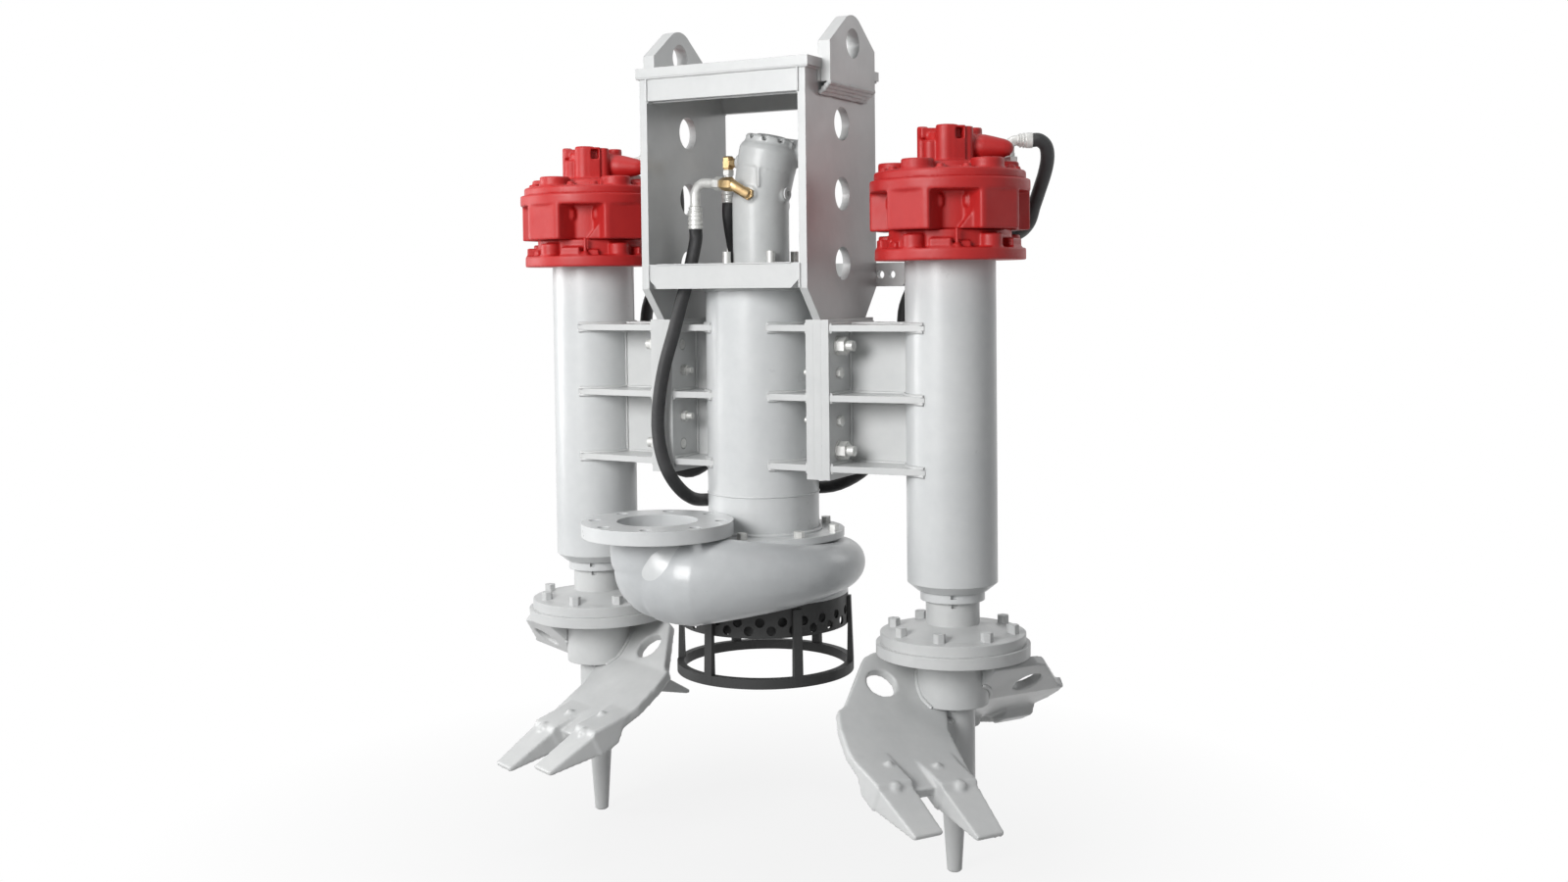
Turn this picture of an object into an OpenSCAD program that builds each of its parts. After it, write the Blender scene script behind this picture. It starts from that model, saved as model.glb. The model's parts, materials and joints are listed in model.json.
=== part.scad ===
// Excavator dredge pump: a hanging frame with a hydraulic slurry pump in the middle
// and a hydraulic cutter on an arm at each side.
// Millimetres. Origin: middle of the pin bore through the two lifting lugs.
// +X runs right along the arms, the front faces -Y, +Z is up.

/* [Frame] */
// Outside width of the hanging frame over its side plates
frame_w = 360; // [340:1:400]
// Depth of the hanging frame, front to back
frame_d = 300; // [290:1:340]
// Thickness of the side plates and of the arms' flanges
plate_t = 16; // [12:1:20]
// Height of the opening between header and floor rail
window_h = 314; // [300:1:360]
// Height of the front and rear headers
header_h = 45; // [35:1:60]
// Thickness of the headers and rails
rail_t = 16; // [12:1:20]
// Height of the floor rails
rail_h = 47; // [42:1:60]
// Thickness of the floor plate
floor_t = 15; // [12:1:18]
// Thickness of the top plate
top_t = 18; // [12:1:24]
// How far the top plate stands out over the side plates
top_overhang = 7; // [2:1:15]
// Distance from the pin bore down to the top plate
pin_drop = 37; // [34:1:50]
// Diameter of the side plates' handling holes
side_hole_d = 64; // [40:1:80]
// Length of the rear rail
rear_rail_l = 482; // [440:2:520]

/* [Lifting lugs] */
// Bore for the hanger pin
pin_bore_d = 56; // [40:1:64]
// Thickness of a lug
lug_t = 25; // [16:1:32]
// Width of a lug
lug_w = 194; // [150:2:210]
// Radius of a lug's rounded top
lug_top_r = 53; // [44:1:60]
// Height of a lug's straight part below the pin bore
lug_leg_h = 80; // [70:1:96]

/* [Arms] */
// Distance from the pump axis to each cutter axis
arm_reach = 400; // [390:1:460]
// Width of the arm flanges
flange_w = 196; // [180:2:210]
// Height of the arm flanges
flange_h = 300; // [290:1:330]
// Thickness of the ribs and webs
rib_t = 12; // [8:1:16]
// Setback of the ribs from the flanges' edges
rib_setback = 2; // [0:1:6]
// Diameter of the studs that join the arms
stud_d = 20; // [16:1:22]
// Diameter of the short bolts beside the studs
bolt_d = 12; // [10:1:14]
// Distance across the two rows of studs
stud_row_w = 116; // [100:2:124]

/* [Pump column] */
// Outside diameter of the pump column
column_d = 219.1; // [200:0.1:222]
// Wall of the pump column
column_wall = 12.7; // [8:0.1:16]
// Length of the column tube
column_l = 400; // [380:1:440]
// Height of the seal housing between column tube and casing
seal_h = 75; // [60:1:90]
// Diameter of the seal housing's flange
seal_flange_d = 318; // [300:2:330]
// Thickness of the seal housing's flange
seal_flange_t = 13; // [10:1:18]
// Diameter of the pump shaft
pump_shaft_d = 60; // [45:1:70]

/* [Casing and strainer] */
// Inside height of the pump casing
casing_h = 74; // [70:1:84]
// Wall of the pump casing
casing_wall = 12; // [9:1:14]
// Diameter of the impeller
impeller_d = 206; // [180:2:214]
// Radius of the volute's section at its throat
throat_r = 82; // [78:1:86]
// Radius of the volute's section at its start
tongue_r = 25; // [22:1:30]
// Radius from the pump axis to the volute's section at the throat
throat_ring_r = 238; // [236:1:246]
// Radius from the pump axis to the volute's section at its start
tongue_ring_r = 148; // [144:1:152]
// Sideways place of the discharge from the pump axis
discharge_x = -96; // [-104:1:-94]
// Bend radius of the discharge elbow
elbow_bend_r = 90; // [86:1:96]
// Outside diameter of the discharge flange
discharge_flange_d = 285; // [250:1:286]
// Thickness of the discharge flange
discharge_flange_t = 26; // [20:1:30]
// Bolt circle of the discharge flange
discharge_pcd = 240; // [225:1:245]
// Hole in the discharge flange
discharge_hole_d = 22; // [18:1:24]
// Bore of the discharge
discharge_bore_d = 152; // [140:1:156]
// Suction eye of the casing
eye_d = 130; // [110:1:150]
// Diameter of the strainer's skirt
skirt_d = 330; // [320:1:334]
// Height of the strainer's perforated skirt
skirt_h = 61; // [50:1:76]
// Diameter of the skirt's holes
skirt_hole_d = 18; // [12:1:22]
// Height of the open cage below the skirt
cage_h = 75; // [60:1:90]
// Diameter of the strainer's bottom ring
cage_ring_d = 350; // [346:1:360]

/* [Side tubes] */
// Outside diameter of the side tubes
tube_d = 168.3; // [159:0.1:169]
// Wall of the side tubes
tube_wall = 11; // [7:0.1:14]
// Length of the side tubes
tube_l = 597; // [560:1:620]
// Diameter of the cutter shafts
cutter_shaft_d = 70; // [60:1:74]
// Diameter of the gland ring under a side tube
gland_d = 120; // [112:1:126]

/* [Side motors] */
// Diameter of a side motor's mounting flange
motor_flange_d = 278; // [260:1:282]
// Diameter over a side motor's cylinder banks
motor_star_d = 296; // [286:1:302]
// Turn of the first cylinder bank seen from above
bank_turn = -97; // [-120:1:-80]
// Width of a cylinder bank
bank_w = 104; // [90:1:110]
// Height of a side motor's star housing
star_h = 70; // [60:1:80]
// Diameter of a side motor's valve cap
cap_d = 116; // [104:1:124]

/* [Pump motor] */
// Diameter of the pump motor's lower case
case_d = 106; // [96:1:110]
// Lean of the pump motor's upper housing
motor_lean = 14; // [10:1:18]
// Side of the pump motor's square mounting flange
motor_foot_w = 134; // [130:1:140]

/* [Cutters] */
// Diameter of the rotating collar
collar_d = 100; // [92:1:108]
// Diameter of the cutter cover
cover_d = 271; // [250:1:276]
// Diameter of the hub's flange
hub_flange_d = 287; // [280:1:294]
// Thickness of the hub's flange
hub_flange_t = 21; // [16:1:26]
// Diameter of the hub
hub_d = 132; // [120:1:140]
// Length of the hub below its flange
hub_l = 92; // [84:1:104]
// Diameter of the pilot pipe
pilot_d = 80; // [70:1:86]
// Length of the pilot pipe below the hub
pilot_l = 150; // [120:1:170]
// Length of the spike below the pilot pipe
spike_l = 170; // [140:1:190]
// Thickness of the blades
blade_t = 20; // [14:1:24]
// Slope of the blades from level
blade_tilt = 26.5; // [24:0.5:29]
// Slope of the blades' bent-up ears from level
ear_tilt = 42; // [38:0.5:45]
// Turn of the blades seen from above
blade_turn = -33; // [-40:0.5:20]
// Turn of the left cutter against the mirrored right one
left_phase = -33; // [-60:1:30]
// Diameter of the eye in a blade
blade_eye_d = 58; // [40:1:62]

/* [Hoses] */
// Outside diameter of the hydraulic hoses
hose_d = 26; // [20:1:30]

/* [Clearances] */
// Radial clearance of a shaft in its bearing
bearing_gap = 0.05; // [0.03:0.01:0.09]
// Gap between turning and standing faces
spin_gap = 1; // [0.6:0.1:2]
// Clearance of a bolt in its hole, across the diameter
bolt_gap = 2; // [1:0.5:3]

/* [Hidden] */
$fn = 64;
eps = 0.01;

// Heights, from the pin bore down
top_z = -pin_drop;
top_under = top_z - top_t;
header_bottom = top_under - header_h;
rail_top = header_bottom - window_h;
rail_bottom = rail_top - rail_h;
floor_top = rail_bottom + floor_t;
shoulder_h = 60;
flange_top = rail_bottom - shoulder_h;
flange_bottom = flange_top - flange_h;
column_bottom = rail_bottom - column_l;
seal_bottom = column_bottom - seal_h;
casing_top = seal_bottom - seal_flange_t;
casing_mid = casing_top - casing_wall - casing_h / 2;
casing_bottom = casing_mid - casing_h / 2 - casing_wall;
suction_t = 12;
skirt_top = casing_bottom - suction_t;
skirt_bottom = skirt_top - skirt_h;
cage_ring_h = 19;
cage_bottom = skirt_bottom - cage_h - cage_ring_h;

// Sideways places of the frame and arms
side_in = frame_w / 2 - plate_t;
inner_flange_x = side_in - plate_t;
outer_flange_x = frame_w / 2;
outer_flange_end = outer_flange_x + plate_t;
rib_z = [flange_top - 10, flange_top - 141, flange_top - 273];
stud_z = [flange_top - 50, flange_top - 247];
bolt_z = [flange_top - 101, flange_top - 192];
nut_h = stud_d * 0.8;
stud_tail = 14;
washer_t = 3;

// Side tube and cutter heights
tube_top = rail_top + 2;
tube_bottom = tube_top - tube_l;
tube_cone_h = 15;
gland_top = tube_bottom - tube_cone_h;
gland_h = 18;
collar_top = gland_top - gland_h - spin_gap;
collar_h = 46;
cover_rise = 16;
cover_t = 18;
cover_top = collar_top - collar_h - cover_rise;
hub_top = cover_top - cover_t;
hub_bottom = hub_top - hub_flange_t - hub_l;
pilot_bottom = hub_bottom - pilot_l;
spike_bottom = pilot_bottom - spike_l;
fold_z = hub_bottom + 14.5;
fold_u = -5;
shaft_r = cutter_shaft_d / 2;

// Side motor heights
motor_flange_t = 22;
neck_h = 33;
motor_flange_top = tube_top + motor_flange_t;
star_bottom = motor_flange_top + neck_h;
star_top = star_bottom + star_h;
band_h = 22;
lid_h = 16;
boss_h = 17;
cap_h = 60;
lid_bottom = star_top + band_h;
lid_top = lid_bottom + lid_h;
cap_bottom = lid_top + boss_h;
cap_top = cap_bottom + cap_h;
cap_turn = -158;
motor_shaft_top = star_top - 10;

// Pump motor heights and places
foot_t = 18;
foot_top = floor_top + foot_t;
case_top = rail_top + 142;
lean_turn = 20;
knee_z = case_top - 18;
stud_pitch = motor_foot_w - 36;
motor_stud_d = 16;
motor_nut_h = 13;
barrel_l = 96;
port_plate_t = 26;

// Discharge
discharge_y = -throat_ring_r;
elbow_r = throat_r + 3;
discharge_top = casing_mid + 104;
wet_r = discharge_bore_d / 2;

// Hoses: both routes are chosen by hand, from the fitting to the motor's port
hose_r = hose_d / 2;
elbow_front = [-110, -64];
elbow_rear = [-84, 22];
front_port_a = -150;
rear_port_a = 165;
front_port_z = -273;
rear_port_z = -213;
STEM_RIGHT = [486, 82];
STEM_LEFT = [-352, 86];
ferrule_l = 56;
ROUTE_RIGHT = [[-110, -64, -344], [-110, -64, -366], [-108, -84, -408], [-104, -108, -446],
    [-112, -119, -490], [-128, -121, -545], [-150, -121, -610], [-163, -121, -670],
    [-168, -121, -730], [-160, -120, -785], [-144, -110, -832], [-138, -60, -872],
    [-144, 20, -890], [-110, 108, -886], [-20, 156, -876], [90, 158, -862],
    [178, 150, -800], [216, 160, -700], [228, 170, -590], [230, 178, -500],
    [272, 188, -430], [350, 208, -386], [440, 214, -366], [484, 186, -345],
    [505, 165, -310], [521, 151, -280], [536, 138, -250], [546, 124, -224],
    [546, 115, -203], [536, 107, -192], [524, 101, -192]];
ROUTE_LEFT = [[-84, 22, -290], [-84, 22, -322], [-88, 48, -385], [-92, 80, -446],
    [-98, 114, -515], [-112, 128, -620], [-140, 140, -720], [-190, 140, -808],
    [-258, 128, -850], [-318, 114, -800], [-338, 104, -700], [-340, 104, -600],
    [-338, 110, -500], [-322, 146, -428], [-314, 186, -360], [-308, 190, -290],
    [-294, 160, -230], [-282, 126, -206], [-286, 98, -196], [-308, 86, -192], [-322, 86, -192]];

function unit(v) = v / norm(v);
function curve_at(a, b, c, d, t) =
    0.5 * ((2 * b) + (c - a) * t + (2 * a - 5 * b + 4 * c - d) * t * t
        + (3 * b - a - 3 * c + d) * t * t * t);
function route_points(p, n) = concat(
    [for (i = [0 : len(p) - 2]) for (k = [0 : n - 1])
        curve_at(p[max(i - 1, 0)], p[i], p[i + 1], p[min(i + 2, len(p) - 1)], k / n)],
    [p[len(p) - 1]]);
function headings(q) =
    [for (i = [0 : len(q) - 1]) unit(q[min(i + 1, len(q) - 1)] - q[max(i - 1, 0)])];
function side_of(h, s) = unit(s - h * (s * h));
function carried(h, i, s) =
    i == len(h) ? [] : let (now = side_of(h[i], s)) concat([now], carried(h, i + 1, now));
function ring_at(c, h, s, r, n) =
    let (u = cross(h, s)) [for (k = [0 : n - 1]) c + r * (cos(k * 360 / n) * s + sin(k * 360 / n) * u)];

// A closed tube through rings of equal point count
module skin(rings) {
    n = len(rings[0]);
    m = len(rings);
    points = [for (r = rings) for (p = r) p];
    sides = [for (i = [0 : m - 2]) for (k = [0 : n - 1])
        [i * n + k, (i + 1) * n + k, (i + 1) * n + (k + 1) % n, i * n + (k + 1) % n]];
    start = [for (k = [0 : n - 1]) k];
    finish = [for (k = [n - 1 : -1 : 0]) (m - 1) * n + k];
    polyhedron(points = points, faces = concat(sides, [start, finish]), convexity = 6);
}

module hose_along(route) {
    q = route_points(route, 1);
    h = headings(q);
    s = carried(h, 0, [0, 1, 0]);
    skin([for (i = [0 : len(q) - 1]) ring_at(q[i], h[i], s[i], hose_r, 10)]);
}

module paint() color("gainsboro") children();
module red() color("firebrick") children();
module black() color("dimgray") children();
module zinc() color("silver") children();
module brass() color("goldenrod") children();

module at_side(side) {
    translate([side * arm_reach, 0, 0]) children();
}

module mirrored(side) {
    mirror([side < 0 ? 1 : 0, 0, 0]) children();
}

module tube_of(r_out, r_in, z_low, z_high) {
    translate([0, 0, z_low]) difference() {
        cylinder(r = r_out, h = z_high - z_low);
        translate([0, 0, -1]) cylinder(r = r_in, h = z_high - z_low + 2);
    }
}

module bar(x0, x1, y0, y1, z0, z1) {
    translate([x0, y0, z0]) cube([x1 - x0, y1 - y0, z1 - z0]);
}

module across_x(x0, x1) {
    translate([x0, 0, 0]) rotate([90, 0, 90]) linear_extrude(x1 - x0) children();
}

module hex_head(af, h) {
    cylinder(d = af / cos(30), h = h, $fn = 6);
}

// Hanging frame
module joint_hole_places() {
    for (y = [-1, 1]) {
        for (z = stud_z) translate([y * stud_row_w / 2, z]) children(0);
        for (z = bolt_z) translate([y * stud_row_w / 2, z]) children(1);
    }
}

module joint_holes() {
    joint_hole_places() {
        circle(d = stud_d + bolt_gap);
        circle(d = bolt_d + bolt_gap);
    }
}

module side_plate(side) {
    mirrored(side) across_x(side_in, frame_w / 2) difference() {
        polygon([[-frame_d / 2, top_under], [-frame_d / 2, rail_bottom],
            [-flange_w / 2, flange_top], [-flange_w / 2, flange_bottom],
            [flange_w / 2, flange_bottom], [flange_w / 2, flange_top],
            [frame_d / 2, rail_bottom], [frame_d / 2, top_under]]);
        for (k = [0 : 2])
            translate([0, header_bottom - 50 - k * (window_h - 48) / 2]) circle(d = side_hole_d);
        joint_holes();
    }
}

module hanger_side_plate_left() paint() side_plate(-1);
module hanger_side_plate_right() paint() side_plate(1);

module hanger_top_plate() paint() difference() {
    bar(-frame_w / 2 - top_overhang, frame_w / 2 + top_overhang,
        -frame_d / 2 - 4, frame_d / 2 + 4, top_under, top_z);
    for (side = [-1, 1])
        mirrored(side) bar(frame_w / 2, frame_w / 2 + top_overhang + 1,
            -lug_w / 2 - 1, lug_w / 2 + 1, top_under - 1, top_z + 1);
}

module header(y0) {
    bar(-side_in, side_in, y0, y0 + rail_t, header_bottom, top_under);
}

module hanger_header_front() paint() header(-frame_d / 2);
module hanger_header_rear() paint() header(frame_d / 2 - rail_t);

module floor_hose_hole(p) {
    translate([p[0], p[1], rail_bottom - 1]) cylinder(d = hose_d + 16, h = floor_t + 2);
}

module motor_stud_places() {
    for (x = [-1, 1]) for (y = [-1, 1])
        translate([x * stud_pitch / 2, y * stud_pitch / 2, 0]) children();
}

module hanger_floor_plate() paint() difference() {
    bar(-side_in, side_in, -frame_d / 2 + rail_t, frame_d / 2, rail_bottom, floor_top);
    translate([0, 0, rail_bottom - 1]) cylinder(d = case_d - 20, h = floor_t + 2);
    motor_stud_places() translate([0, 0, rail_bottom - 1])
        cylinder(d = motor_stud_d, h = floor_t + 2);
    floor_hose_hole(ROUTE_RIGHT[3]);
    floor_hose_hole(ROUTE_LEFT[3]);
}

module floor_rail_front() paint() translate([0, -frame_d / 2 + rail_t, 0])
    rotate([90, 0, 0]) linear_extrude(rail_t)
        polygon([[-side_in, rail_top], [-side_in, rail_bottom + 18], [-side_in + 18, rail_bottom],
            [side_in - 18, rail_bottom], [side_in, rail_bottom + 18], [side_in, rail_top]]);

module floor_rail_rear() paint() translate([0, frame_d / 2 + rail_t, 0])
    rotate([90, 0, 0]) linear_extrude(rail_t) difference() {
        hull() for (x = [-1, 1]) for (z = [rail_bottom + 8, rail_top - 8])
            translate([x * (rear_rail_l / 2 - 8), z]) circle(r = 8, $fn = 32);
        for (side = [-1, 1]) for (x = [rear_rail_l / 2 - 28, rear_rail_l / 2 - 52])
            translate([side * x, (rail_top + rail_bottom) / 2]) circle(d = 16);
    }

module lug(side) {
    mirrored(side) across_x(frame_w / 2, frame_w / 2 + lug_t) difference() {
        hull() {
            circle(r = lug_top_r, $fn = 96);
            translate([-lug_w / 2, -lug_leg_h]) square([lug_w, lug_leg_h - 5]);
        }
        circle(d = pin_bore_d);
    }
}

module lifting_lug_left() paint() lug(-1);
module lifting_lug_right() paint() lug(1);

// Arms
module joint_flange(x0) {
    across_x(x0, x0 + plate_t) difference() {
        translate([-flange_w / 2, flange_bottom]) square([flange_w, flange_h]);
        joint_holes();
    }
}

module rib_stack(x0, x1, w0, w1) {
    for (z = rib_z) translate([0, 0, z - rib_t]) linear_extrude(rib_t)
        polygon([[x0, -w0], [x1, -w1], [x1, w1], [x0, w0]]);
    bar(x0, x1, -rib_t / 2, rib_t / 2, rib_z[2] - rib_t / 2, rib_z[0] - rib_t / 2);
}

module arm_inner(side) {
    rib_w = flange_w / 2 - rib_setback;
    mirrored(side) {
        joint_flange(inner_flange_x);
        difference() {
            rib_stack(column_d / 4, inner_flange_x, rib_w - 4, rib_w);
            translate([0, 0, flange_bottom]) cylinder(d = column_d, h = flange_h, $fn = 96);
        }
    }
}

module arm_outer(side) {
    mirrored(side) {
        joint_flange(outer_flange_x);
        difference() {
            rib_stack(outer_flange_end, arm_reach, flange_w / 2 - rib_setback, tube_d / 2 - 3);
            translate([arm_reach, 0, flange_bottom]) cylinder(d = tube_d, h = flange_h, $fn = 96);
        }
    }
}

module arm_inner_left() paint() arm_inner(-1);
module arm_inner_right() paint() arm_inner(1);
module arm_outer_left() paint() arm_outer(-1);
module arm_outer_right() paint() arm_outer(1);

module joint_bolts() {
    for (y = [-1, 1]) {
        for (z = stud_z) translate([inner_flange_x, y * stud_row_w / 2, z]) rotate([0, 90, 0])
            cylinder(d = stud_d, h = 3 * plate_t + washer_t + nut_h + stud_tail);
        for (z = bolt_z) translate([outer_flange_end, y * stud_row_w / 2, z]) rotate([0, -90, 0]) {
            translate([0, 0, -8]) hex_head(bolt_d * 1.5, 8);
            cylinder(d = bolt_d, h = 3 * plate_t + 22);
        }
    }
}

module hex_nut(d, h) {
    difference() {
        hex_head(d * 1.5, h);
        translate([0, 0, -1]) cylinder(d = d, h = h + 2);
    }
}

module joint_nuts() {
    for (y = [-1, 1]) {
        for (z = stud_z) translate([outer_flange_end, y * stud_row_w / 2, z]) rotate([0, 90, 0]) {
            tube_of(stud_d * 0.92, stud_d / 2, 0, washer_t);
            translate([0, 0, washer_t]) hex_nut(stud_d, nut_h);
        }
        for (z = bolt_z) translate([inner_flange_x, y * stud_row_w / 2, z]) rotate([0, -90, 0])
            hex_nut(bolt_d, 10);
    }
}

module arm_bolts_left() zinc() mirrored(-1) joint_bolts();
module arm_bolts_right() zinc() joint_bolts();
module arm_nuts_left() zinc() mirrored(-1) joint_nuts();
module arm_nuts_right() zinc() joint_nuts();

// Pump column
bearing_in = pump_shaft_d / 2 + bearing_gap;
column_in = column_d / 2 - column_wall;
bearing_h = 34;
upper_bearing_z = rail_bottom - 120;
lower_bearing_z = column_bottom + 60;

module pump_column() paint() tube_of(column_d / 2, column_in, column_bottom, rail_bottom, $fn = 96);
module column_bearing_upper() zinc()
    tube_of(column_in, bearing_in, upper_bearing_z, upper_bearing_z + bearing_h);
module column_bearing_lower() zinc()
    tube_of(column_in, bearing_in, lower_bearing_z, lower_bearing_z + bearing_h);

casing_bolt_n = 8;
casing_bolt_pcd = seal_flange_d - 34;
module casing_bolt_places() {
    for (i = [0 : casing_bolt_n - 1])
        rotate([0, 0, i * 360 / casing_bolt_n + 12]) translate([casing_bolt_pcd / 2, 0, 0]) children();
}

module seal_housing() paint() difference() {
    union() {
        translate([0, 0, seal_bottom]) cylinder(d = column_d, h = seal_h - 1.5, $fn = 96);
        translate([0, 0, column_bottom - 1.5]) cylinder(d = column_d - 5, h = 1.5, $fn = 96);
        translate([0, 0, casing_top]) cylinder(d = seal_flange_d, h = seal_flange_t, $fn = 96);
    }
    translate([0, 0, casing_top - 1]) cylinder(d = 110, h = seal_h + seal_flange_t + 2);
    casing_bolt_places() translate([0, 0, casing_top - 1])
        cylinder(d = 12 + bolt_gap, h = seal_flange_t + 2);
}

module shaft_seal() zinc() tube_of(55, bearing_in, casing_top, casing_top + 48);

module casing_bolts() zinc() casing_bolt_places() {
    translate([0, 0, seal_bottom]) hex_head(18, 12);
    translate([0, 0, casing_top - casing_wall]) cylinder(d = 12, h = casing_wall + seal_flange_t);
}

// Volute: its section runs clockwise from the tongue round to the discharge
tongue_turn = 225;
throat_turn = -90;
sweep_n = 18;
function sweep_turn(k) = tongue_turn + (throat_turn - tongue_turn) * k / sweep_n;
function sweep_part(k) = k / sweep_n;
function section_r(k) = tongue_r + (throat_r - tongue_r)
    * (0.38 * sweep_part(k) + 0.62 * pow(sweep_part(k), 6));
function section_ring_r(k) = tongue_ring_r + (throat_ring_r - tongue_ring_r) * pow(sweep_part(k), 7);
function volute_ring(k, wall) =
    let (turn = sweep_turn(k), r = section_r(k) - wall, c = section_ring_r(k))
    [for (i = [0 : 15]) let (a = i * 22.5, d = c + r * cos(a))
        [d * cos(turn), d * sin(turn), casing_mid + r * sin(a)]];
function throat_ring(x, wall) =
    [for (i = [0 : 15]) let (a = i * 22.5, r = throat_r - wall)
        [x, -(throat_ring_r + r * cos(a)), casing_mid + r * sin(a)]];
elbow_start_x = discharge_x + elbow_bend_r;

module volute_body(wall, reach) {
    skin(concat([for (k = [0 : sweep_n]) volute_ring(k, wall)], [throat_ring(reach, wall)]));
}

chamber_r = tongue_ring_r - 10;
module volute_casing() paint() difference() {
    union() {
        volute_body(0, elbow_start_x);
        translate([0, 0, casing_bottom])
            cylinder(r = chamber_r + 14, h = casing_h + 2 * casing_wall, $fn = 96);
    }
    volute_body(casing_wall - 2, elbow_start_x - 1);
    translate([0, 0, casing_mid - casing_h / 2]) cylinder(r = chamber_r, h = casing_h, $fn = 96);
    translate([0, 0, casing_bottom - 1]) cylinder(d = impeller_d + 14, h = casing_h, $fn = 96);
    translate([0, 0, casing_mid]) cylinder(d = 120, h = casing_h, $fn = 48);
    translate([0, 0, casing_top]) cylinder(d = seal_flange_d + 1, h = 60, $fn = 96);
    translate([discharge_x, discharge_y, discharge_top - discharge_flange_t - 0.3])
        cylinder(d = discharge_flange_d + 1, h = 60, $fn = 96);
    translate([0, 0, casing_bottom - 80]) cylinder(d = cage_ring_d + 1, h = 80, $fn = 96);
    casing_bolt_places() translate([0, 0, casing_top - casing_wall - 1])
        cylinder(d = 12, h = casing_wall + 2, $fn = 24);
}

module elbow_bend(r) {
    translate([discharge_x + elbow_bend_r, discharge_y, casing_mid + elbow_bend_r])
        rotate([90, 0, 0]) rotate([0, 0, 180]) rotate_extrude(angle = 90, $fn = 96)
            translate([elbow_bend_r, 0]) circle(r = r);
}

module discharge_elbow() paint() {
    difference() {
        elbow_bend(elbow_r);
        elbow_bend(wet_r);
    }
    translate([discharge_x, discharge_y, 0]) difference() {
        union() {
            translate([0, 0, casing_mid + elbow_bend_r])
                cylinder(r = elbow_r, h = discharge_top - casing_mid - elbow_bend_r, $fn = 96);
            translate([0, 0, discharge_top - discharge_flange_t])
                cylinder(d = discharge_flange_d, h = discharge_flange_t, $fn = 96);
        }
        translate([0, 0, casing_mid]) cylinder(r = wet_r, h = 200, $fn = 96);
        for (i = [0 : 7]) rotate([0, 0, i * 45 + 22.5])
            translate([discharge_pcd / 2, 0, discharge_top - discharge_flange_t - 1])
                cylinder(d = discharge_hole_d, h = discharge_flange_t + 2);
    }
}

module suction_plate() paint() tube_of(skirt_d / 2, eye_d / 2, skirt_top, casing_bottom, $fn = 96);

// Strainer
skirt_wall = 5;
skirt_hole_n = 24;
bell_r = 132;
module strainer_skirt() black() difference() {
    union() {
        tube_of(skirt_d / 2, skirt_d / 2 - skirt_wall, skirt_bottom, skirt_top, $fn = 96);
        tube_of(bell_r, bell_r - skirt_wall, skirt_bottom + 4, skirt_top, $fn = 64);
    }
    for (row = [0 : 1]) for (i = [0 : skirt_hole_n - 1])
        rotate([0, 0, (i + row / 2) * 360 / skirt_hole_n + 3])
            translate([skirt_d / 2 - skirt_wall - 4, 0, skirt_bottom + 14 + row * 16])
                rotate([0, 90, 0]) cylinder(d = skirt_hole_d, h = skirt_wall + 8, $fn = 24);
}

leg_n = 6;
leg_w = 18;
module strainer_cage() black() {
    tube_of(cage_ring_d / 2, cage_ring_d / 2 - 14, cage_bottom, cage_bottom + cage_ring_h, $fn = 96);
    for (i = [0 : leg_n - 1]) rotate([0, 0, i * 360 / leg_n - 40]) {
        rotate([90, 0, 0]) translate([0, 0, -leg_w / 2]) linear_extrude(leg_w)
            polygon([[skirt_d / 2, skirt_top - 8], [skirt_d / 2 + 6, skirt_top - 8],
                [cage_ring_d / 2, cage_bottom + cage_ring_h + 6], [cage_ring_d / 2, cage_bottom + 4],
                [cage_ring_d / 2 - 12, cage_bottom + 4], [skirt_d / 2, skirt_bottom]]);
    }
}

// Turning pump parts
impeller_top = casing_mid + casing_h / 2 - 4;
impeller_h = 62;
agitator_z = skirt_bottom - 20;
module pump_shaft() zinc() {
    translate([0, 0, impeller_top - 40])
        cylinder(d = pump_shaft_d, h = rail_bottom - 46 - impeller_top + 40);
    translate([0, 0, rail_bottom - 80]) cylinder(d = 96, h = 62);
    translate([0, 0, rail_bottom - 19]) cylinder(d = 36, h = floor_t + 22);
}

module vane() {
    function spiral(t, w) = let (r = 34 + 62 * t, a = -95 * t + w) [r * cos(a), r * sin(a)];
    linear_extrude(impeller_h - 16)
        polygon(concat([for (t = [0 : 0.125 : 1]) spiral(t, 0)],
            [for (t = [1 : -0.125 : 0]) spiral(t, 9 - 5 * t)]));
}

module impeller() color("slategray") {
    difference() {
        union() {
            translate([0, 0, impeller_top - 8]) cylinder(d = impeller_d, h = 8);
            translate([0, 0, impeller_top - impeller_h]) cylinder(d = 78, h = impeller_h);
            for (i = [0 : 4]) rotate([0, 0, i * 72])
                translate([0, 0, impeller_top - impeller_h + 8]) vane();
        }
        translate([0, 0, impeller_top - 40]) cylinder(d = pump_shaft_d, h = 60);
    }
    tube_of(impeller_d / 2, 58, impeller_top - impeller_h, impeller_top - impeller_h + 9);
    translate([0, 0, agitator_z]) cylinder(d = 44, h = impeller_top - impeller_h - agitator_z);
    for (i = [0 : 2]) rotate([0, 0, i * 120 + 46])
        translate([16, -7, agitator_z + 2]) cube([76, 14, 22]);
}

// Pump motor: a vertical case with a leaning barrel housing on it
module pump_motor_foot() paint() difference() {
    bar(-motor_foot_w / 2, motor_foot_w / 2, -motor_foot_w / 2, motor_foot_w / 2, floor_top, foot_top);
    translate([0, 0, floor_top - 1]) cylinder(d = case_d - 20, h = foot_t + 2);
    motor_stud_places() translate([0, 0, floor_top - 1]) cylinder(d = motor_stud_d, h = foot_t + 2);
}

module leaning() {
    translate([0, 0, knee_z]) rotate([0, 0, lean_turn]) rotate([0, motor_lean, 0]) children();
}

module port_boss(a, z, d) {
    translate([0, 0, z]) rotate([0, 0, a]) rotate([0, 90, 0]) cylinder(d = d, h = case_d / 2 + 5);
}

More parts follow.
